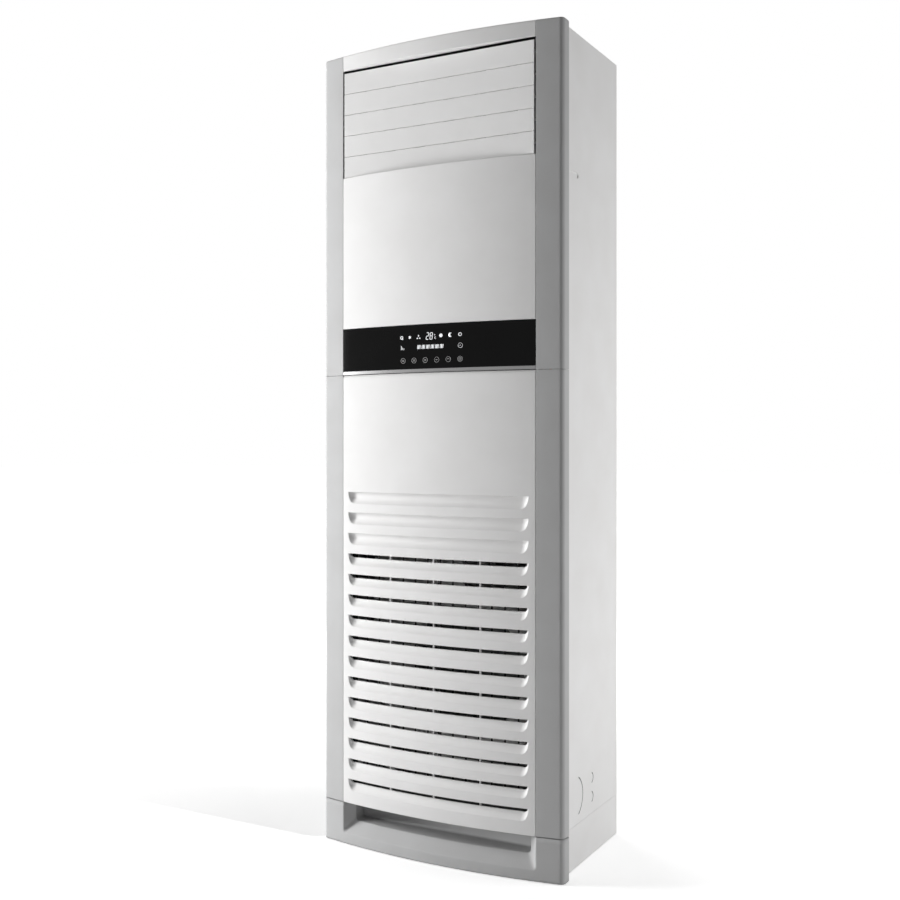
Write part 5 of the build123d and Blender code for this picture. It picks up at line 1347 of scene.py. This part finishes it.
    def keys(self) -> Surface:
        """Six printed rings, each with a plain sign of strokes, an arc or a dot.

        Returns:
            All of their plates together.
        """
        parts = []
        z, width = self.key_z, self.key_stroke
        for number in range(self.key_count):
            x = (number - (self.key_count - 1) / 2) * self.key_pitch
            parts.append(self.ring((x, z), 6.2, 5.4))
            if number in (0, 2):
                rows = (z + 1.4, z - 1.4)
                parts += [self.stroke((x - 2.7, row), (x + 2.7, row), width) for row in rows]
            elif number == 1:
                columns = (x - 1.6, x + 1.6)
                parts += [self.stroke((at, z - 2.6), (at, z + 2.6), width) for at in columns]
            elif number == 3:
                parts.append(self.stroke((x - 2.7, z), (x + 2.7, z), 1.5))
            elif number == 4:
                parts.append(self.ring((x, z - 1.2), 3.2, 2.1, 20, 140))
            else:
                parts += [self.laid(circle((x, z), 1.2, 16)), self.ring((x, z), 3.6, 2.8)]
        return Surface.joined(parts)

    def build(self) -> None:
        """Makes the window, the strip, the lit marks and the printed keys."""
        low, high, front, back = self.low, self.high, self.glass_in, self.glass_back
        section = [(front, low), (front, high), (back, high), (back, low)]
        glass = FORM.bowed(soften(section, [0.7, 0.7, 0.3, 0.3]), 0.5, 90)
        self.put(glass, "window_glass", BLACK_GLOSS, "cabinet", ["display_window"])
        (low, high), back = self.strip, self.strip_back
        section = [(0, low), (0, high), (back, high), (back, low)]
        strip = FORM.bowed(soften(section, [0.35, 0.35, 0.05, 0.05]), 0.25)
        self.put(strip, "bright_strip", CHROME, "cabinet", ["chrome_strip"])
        self.put(self.marks(), "display_marks", LAMP_WHITE, "cabinet", [], "white_plastic")
        self.put(self.keys(), "key_rings", KEY_PRINT, "cabinet", [], "grey_plastic")


# ------------------------------------------------------------ intake panel
@dataclass
class IntakePanel(Assembly):
    """The bowed lower panel with its scoops, grille ribs, filter rails and hinge pins."""

    low: float = 97.8
    high: float = 1093.1
    wall: float = 3.0
    flange: float = 2.8
    flange_in: float = 18.0
    scoop_first: float = 154.5
    scoop_pitch: float = 47.7
    scoops_open: int = 12
    scoops_blind: int = 3
    scoop_height: float = 27.0
    scoop_in: float = 10.0
    scoop_half: float = 230.0
    scoop_steps: int = 12
    end_run: float = 20.0
    slot_height: float = 9.6
    slot_half: float = 227.0
    slot_taper: float = 9.0
    chamfer_high: float = 5.4
    chamfer_in: float = 3.0
    edge_x: float = 245.2
    rib_x: float = 115.0
    rib_half: float = 1.25
    rib_in: Pair = (11.0, 18.0)
    rib_z: Pair = (142.5, 687.2)
    rail_x: Pair = (238.0, 240.0)
    rail_z: Pair = (133.0, 1009.7)
    rail_back: float = -149.4
    lip_x: Pair = (231.0, 238.5)
    lips_y: tuple[Pair, Pair] = ((-160.4, -158.4), (-151.6, -149.6))
    stop_y: Pair = (-159.4, -150.6)
    stop_height: float = 2.6
    flange_back: float = -160.0
    hinge: Pair = (-166.0, 1088.9)
    hinge_pin: float = 3.0
    hinge_end: float = 250.9

    def columns(self) -> np.ndarray:
        """X of the columns: close together over the scoops' ends and the panel's edges.

        Returns:
            X of each column, from the left.
        """
        half, end = self.scoop_half, self.scoop_half - self.end_run
        middle = np.linspace(0, end, 22)[:-1]
        beside = [half + 1.5, half + 6, 242.0, 244.8, 245.5, 245.9, 246.13, FORM.panel_half]
        right = np.concatenate([middle, np.arange(end, half + 0.5, 1.0), beside])
        return np.concatenate([-right[:0:-1], right])

    def scoop_rows(self, top: float) -> np.ndarray:
        """Rows of one scoop from below it to above its lip.

        Each row has a height on the face, a share from the hollow's foot (0) to its deep
        end (1) or -1 outside the hollow, a cap on its depth, the lift of the inner side
        above it, and the height of the scoop's lip.

        Args:
            top: height of the scoop's lip.

        Returns:
            The rows from below upwards, rows by five.
        """
        foot = top - self.scoop_height
        slope = [(foot, share, 99.0, 0.0) for share in np.linspace(0, 1, self.scoop_steps + 1)]
        rows = [
            (foot - 3.0, -1.0, 0.0, 0.0), (foot - 1.0, -1.0, 0.0, 0.0), *slope,
            (top, 1.0, 99.0, 0.0), (top + 0.03, 1.0, 0.8, 3.0), (top + 0.15, 1.0, 0.25, 3.05),
            (top + 0.6, 1.0, 0.0, 3.1), (top + 2.0, -1.0, 0.0, 3.1),
        ]
        return np.array([(*row, top) for row in rows])

    def place(self, rows: np.ndarray, x: np.ndarray) -> tuple[np.ndarray, np.ndarray]:
        """Depth and height of every row at every column.

        With u the share of the end run from the scoop's end and v the share of its rise,
        the hollow is scoop_in (1 - (1-u)^2 - (1-v)^2) deep and never less than nothing, and
        the slot's lower edge rises to a point at the scoop's end.

        Args:
            rows: the rows of all scoops and of the plain face.
            x: the columns.

        Returns:
            Depth and height, columns by rows.
        """
        heights, shares, caps, _, tops = rows.T
        away = (self.scoop_half - np.abs(x))[:, None]
        u = np.clip(away / self.end_run, 0, 1)
        v = np.clip(shares, 0, 1)
        hollow = self.scoop_in * np.maximum(0, 1 - (1 - u) ** 2 - (1 - v) ** 2)
        depth = np.where(shares < 0, 0.0, np.minimum(hollow, caps))
        gap = self.slot_height * np.clip((away - 1.5) / self.slot_taper, 0.02, 1) ** 0.6
        foot = tops - self.scoop_height
        on_slope = (heights == foot) & (shares >= 0)
        return depth, np.where(on_slope, foot + (tops - gap - foot) * v, heights + 0 * u)

    def plain_rows(self, heights: list[float]) -> np.ndarray:
        """Rows of the plain face at some heights."""
        return np.array([(height, -1.0, 0.0, 0.0, 0.0) for height in heights])

    def shell(self) -> Surface:
        """The whole panel as one closed skin, with its open slots and their rims.

        Returns:
            The closed skin.
        """
        x = self.columns()
        high, low, deep, flange = self.high, self.low, self.flange_in, self.flange
        crest = high - self.chamfer_high
        scoops = self.scoops_open + self.scoops_blind
        tops = self.scoop_first + self.scoop_pitch * np.arange(scoops)
        over = np.linspace(tops[-1] + 20, crest - 1.2, 8)
        rows = np.concatenate([
            self.plain_rows([low + 0.05, low + 0.4, low + 1.4]),
            *(self.scoop_rows(top) for top in tops),
            self.plain_rows([*over, crest, crest + 1.2, high - 0.7, high - 0.15]),
        ])
        depth, z = self.place(rows, x)
        depth = depth + np.maximum(0, z - crest) * self.chamfer_in / self.chamfer_high
        depth[:, :2] += (0.8, 0.2)
        side = np.clip(np.abs(x) - self.edge_x, 0, 1)[:, None]
        outer_depth = depth + 1 - np.sqrt(1 - side**2)
        inner_depth = depth + self.wall
        inner_z = np.clip(z + rows[:, 3], low + flange, high - flange)
        held = (inner_z <= low + flange) | (inner_z >= high - flange)
        inner_z = np.where(held, inner_z + np.arange(len(rows)) * 0.0005, inner_z)
        ones = np.ones((len(x), 1))
        over_depth = ones * np.array([self.chamfer_in + 0.8, deep, deep, self.wall + 5.0])
        over_z = ones * np.array([high, high, high - flange, high - flange])
        under_depth = ones * np.array([self.wall + 1.0, deep, deep, 1.6])
        under_z = ones * np.array([low + flange, low + flange, low, low])
        depths = [outer_depth, over_depth, inner_depth[:, ::-1], under_depth]
        all_depth = np.concatenate(depths, axis=1)
        all_z = np.concatenate([z, over_z, inner_z[:, ::-1], under_z], axis=1)
        all_x = x[:, None] + 0 * all_depth
        points = np.stack([all_x, FORM.bow(all_x, all_depth), all_z], axis=-1)
        return self.cut_slots(points, rows, x)

    def cut_slots(self, points: np.ndarray, rows: np.ndarray, x: np.ndarray) -> Surface:
        """Leaves the slots out of both sides of the skin and closes their rims and the ends.

        Args:
            points: columns by places along the closed section.
            rows: the section's outer rows.
            x: the columns.

        Returns:
            The closed skin.
        """
        count = len(rows)
        index = np.arange(points.shape[0] * points.shape[1]).reshape(points.shape[:2])
        around = np.concatenate([index, index[:, :1]], axis=1)
        corners = [around[:-1, :-1], around[:-1, 1:], around[1:, 1:], around[1:, :-1]]
        quads = np.stack(corners, axis=-1)
        last_open = self.scoop_first + self.scoop_pitch * (self.scoops_open - 0.5)
        lips = (rows[:, 1] == 1) & (rows[:, 0] == rows[:, 4]) & (rows[:, 4] < last_open)
        edges = np.flatnonzero(lips) - 1
        facing = 2 * count + 3 - np.arange(count)
        first, last = np.searchsorted(x, [-self.slot_half, self.slot_half])
        keep = np.ones(quads.shape[:2], bool)
        keep[first:last, edges] = False
        keep[first:last, facing[edges] - 1] = False
        outer, inner = index[:, :count], index[:, facing]
        rims = []
        for row in (edges, edges + 1):
            near, far = outer[first : last + 1][:, row], inner[first : last + 1][:, row]
            rims.append(np.stack([near[:-1], near[1:], far[1:], far[:-1]], axis=-1).reshape(-1, 4))
        for column in (first, last):
            near, far = outer[column], inner[column]
            rim = [near[edges], near[edges + 1], far[edges + 1], far[edges]]
            rims.append(np.stack(rim, axis=-1))
        for column in (0, -1):
            near, far = outer[column], inner[column]
            rims.append(np.stack([near[:-1], near[1:], far[1:], far[:-1]], axis=-1))
            over = index[column, count - 1 : count + 5]
            under = np.append(index[column, 2 * count + 3 :], index[column, 0])
            rims += [end[[[0, 1, 4, 5], [1, 2, 3, 4]]] for end in (over, under)]
        return Surface(points.reshape(-1, 3), np.concatenate([quads[keep], *rims]))

    def fittings(self) -> Surface:
        """The side flanges, grille ribs, filter rails and hinge pins.

        Returns:
            All of their solids together.
        """
        half, low = FORM.panel_half, self.rail_z[0]
        flange_x, flange_z = (half - self.flange, half - 0.15), (self.low + 0.6, self.high - 6.5)
        right = Surface.joined([
            box(flange_x, (FORM.bow_at(half, 1.6), self.flange_back), flange_z),
            box(self.rail_x, (FORM.bow_at(self.rail_x[0], 2.0), self.rail_back), self.rail_z),
            *(box(self.lip_x, lip_y, self.rail_z) for lip_y in self.lips_y),
            box(self.lip_x, self.stop_y, (low, low + self.stop_height)),
            prism(circle(self.hinge, self.hinge_pin), (half - 1, self.hinge_end), 0),
        ])
        near, far = self.rib_in
        ribs = [
            box(
                (x - self.rib_half, x + self.rib_half),
                (FORM.bow_at(x, near), FORM.bow_at(x, far)), self.rib_z,
            )
            for x in (-self.rib_x, 0.0, self.rib_x)
        ]
        return Surface.joined([right.with_mirror(), *ribs])

    def build(self) -> None:
        """Makes the skin and its fittings."""
        body = "front_intake"
        skin = self.put(self.shell(), "intake_panel_skin", WHITE_PLASTIC, body, ["intake_panel"])
        self.turn_outward(skin)
        self.put(self.fittings(), "intake_panel_fittings", WHITE_PLASTIC, body, [])


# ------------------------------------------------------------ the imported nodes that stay
@dataclass
class CarriedNodes:
    """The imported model's own nodes, each dressed in its slot's finish."""

    record: dict
    nodes: dict[str, bpy.types.Object]

    def build(self) -> None:
        """Gives every node the finish of its slot, and the side panels painted shade along their
        cuts.
        """
        for part in self.record["subparts"]:
            node, finish = self.nodes[part["node"]], EVERY_FINISH[part["material_slot"]]
            if part["node"].startswith("side_panel"):
                finish = SIDE_STEEL_WITH_PAINTED_SHADE
            if not node.material_slots:
                node.data.materials.append(finish.material())
            for slot in node.material_slots:
                slot.material = finish.material()
            LOG.info("%s: dressed in %s", part["node"], finish.name)


# ------------------------------------------------------------ studio
@dataclass
class Lamp:
    """A soft rectangular lamp that faces a point, in metres and watts."""

    name: str
    place: tuple[float, float, float]
    aim: tuple[float, float, float]
    size: Pair
    power: float

    def build(self) -> None:
        """Makes the lamp."""
        data = bpy.data.lights.new(self.name, "AREA")
        data.shape = "RECTANGLE"
        data.size, data.size_y = self.size
        data.energy = self.power
        made = bpy.data.objects.new(self.name, data)
        made.location = self.place
        way = Vector(self.aim) - Vector(self.place)
        made.rotation_euler = way.to_track_quat("-Z", "Y").to_euler()
        bpy.context.scene.collection.objects.link(made)


@dataclass
class Studio:
    """White floor and backdrop, soft lamps, and the camera at the photograph's angle.

    The floor and the card are in millimetres, the glow's reach and the camera in metres.
    """

    ambient: float = 0.14
    floor_grey: float = 0.7
    floor_half: float = 30000.0
    glow_reach: Pair = (0.5, 2.4)
    glow: Pair = (0.56, 1.0)
    card_x: Pair = (-1200.0, -340.0)
    card_y: float = -172.0
    card_z: Pair = (0.0, 2400.0)
    camera_place: tuple[float, float, float] = (1.261, -2.404, 0.944)
    azimuth: float = 28.76
    lens: float = 45.834
    sensor: float = 36.0
    shift_y: float = -0.0116
    far: float = 100.0
    lamps: tuple[Lamp, ...] = (
        Lamp("key_lamp", (-2.4, -1.3, 1.16), (0.0, -0.19, 1.05), (0.9, 2.5), 106.0),
        Lamp("side_lamp", (2.1, 0.75, 0.8), (0.3, 0.0, 0.85), (1.0, 1.0), 23.5),
        Lamp("rear_lamp", (-2.3, 2.1, 1.2), (-0.2, 0.2, 0.9), (1.6, 1.8), 48.0),
        Lamp("top_lamp", (0.0, 0.5, 3.4), (0.0, 0.1, 1.8), (1.0, 0.8), 16.0),
    )

    @staticmethod
    def seen(wires: Wiring) -> Socket:
        """1 for rays from the camera, from gloss and through glass, 0 for the rest.

        Args:
            wires: the material's or the world's tree.

        Returns:
            The value.
        """
        path = wires.add("LightPath").outputs
        value = path["Is Camera Ray"]
        for name in ("Is Glossy Ray", "Is Transmission Ray"):
            value = wires.maths("MAXIMUM", value, path[name])
        return value

    def backdrop(self) -> None:
        """The world: white where it is seen, plain soft light everywhere else."""
        world = bpy.data.worlds.new("backdrop")
        world.use_nodes = True
        bpy.context.scene.world = world
        wires = Wiring(world.node_tree)
        strength = wires.spread(self.seen(wires), (0.0, 1.0), (self.ambient, 1.0))
        background = world.node_tree.nodes["Background"]
        wires.fill(background, {"Color": (1, 1, 1), "Strength": strength})

    def shade_card(self) -> None:
        """A black card that keeps the key lamp off the left side, and that no view shows."""
        across, up = np.linspace(*self.card_x, 5), np.linspace(*self.card_z, 5)
        x, z = np.meshgrid(across, up, indexing="ij")
        card = grid(np.stack([x, self.card_y + 0 * x, z], axis=-1)).piece("shade_card")
        card.data.materials.append(BLACK_PLASTIC.material())
        card.visible_camera = card.visible_glossy = False
        card.visible_transmission = card.visible_diffuse = False

    def floor(self) -> None:
        """A wide white floor whose own glow is weaker near the part, so that a shadow stays."""
        across = np.linspace(-self.floor_half, self.floor_half, 13)
        x, y = np.meshgrid(across, across, indexing="ij")
        made = grid(np.stack([x, y, 0 * x], axis=-1)).piece("floor")
        material = bpy.data.materials.new("floor_white")
        material.use_nodes = True
        nodes = material.node_tree.nodes
        nodes.remove(nodes["Principled BSDF"])
        wires = Wiring(material.node_tree)
        far = wires.add("VectorMath", {0: wires.place()})
        far.operation = "LENGTH"
        share = wires.spread(far.outputs["Value"], self.glow_reach, self.glow)
        strength = wires.maths("MULTIPLY", share, self.seen(wires))
        matt = wires.add("BsdfDiffuse", {"Color": level(self.floor_grey)})
        glow = wires.add("Emission", {"Strength": strength})
        both = wires.add("AddShader", {0: matt.outputs[0], 1: glow.outputs[0]})
        wires.fill(nodes["Material Output"], {"Surface": both.outputs[0]})
        made.data.materials.append(material)
        if made.data.polygons[0].normal.z < 0:
            made.data.flip_normals()

    def camera(self) -> None:
        """The camera: level, turned by the azimuth, framed by a small shift."""
        data = bpy.data.cameras.new("camera")
        data.lens, data.sensor_width, data.shift_y = self.lens, self.sensor, self.shift_y
        data.clip_end = self.far
        made = bpy.data.objects.new("camera", data)
        made.location = self.camera_place
        made.rotation_euler = (np.radians(90), 0, np.radians(self.azimuth))
        bpy.context.scene.collection.objects.link(made)
        bpy.context.scene.camera = made

    def build(self) -> None:
        """Sets up the studio."""
        bpy.context.scene.view_settings.view_transform = "Standard"
        self.backdrop()
        self.floor()
        self.camera()
        self.shade_card()
        for lamp in self.lamps:
            lamp.build()


def main() -> None:
    logging.basicConfig(level=logging.INFO, format="%(message)s")
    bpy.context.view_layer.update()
    CarriedNodes(frame["record"], frame["nodes"]).build()
    front = (Pillars(), TopTrim(), Plinth(), Louvres(), UpperPanel(), Display(), IntakePanel())
    for assembly in front:
        assembly.build()
    Studio().build()


if __name__ == "__main__":
    main()
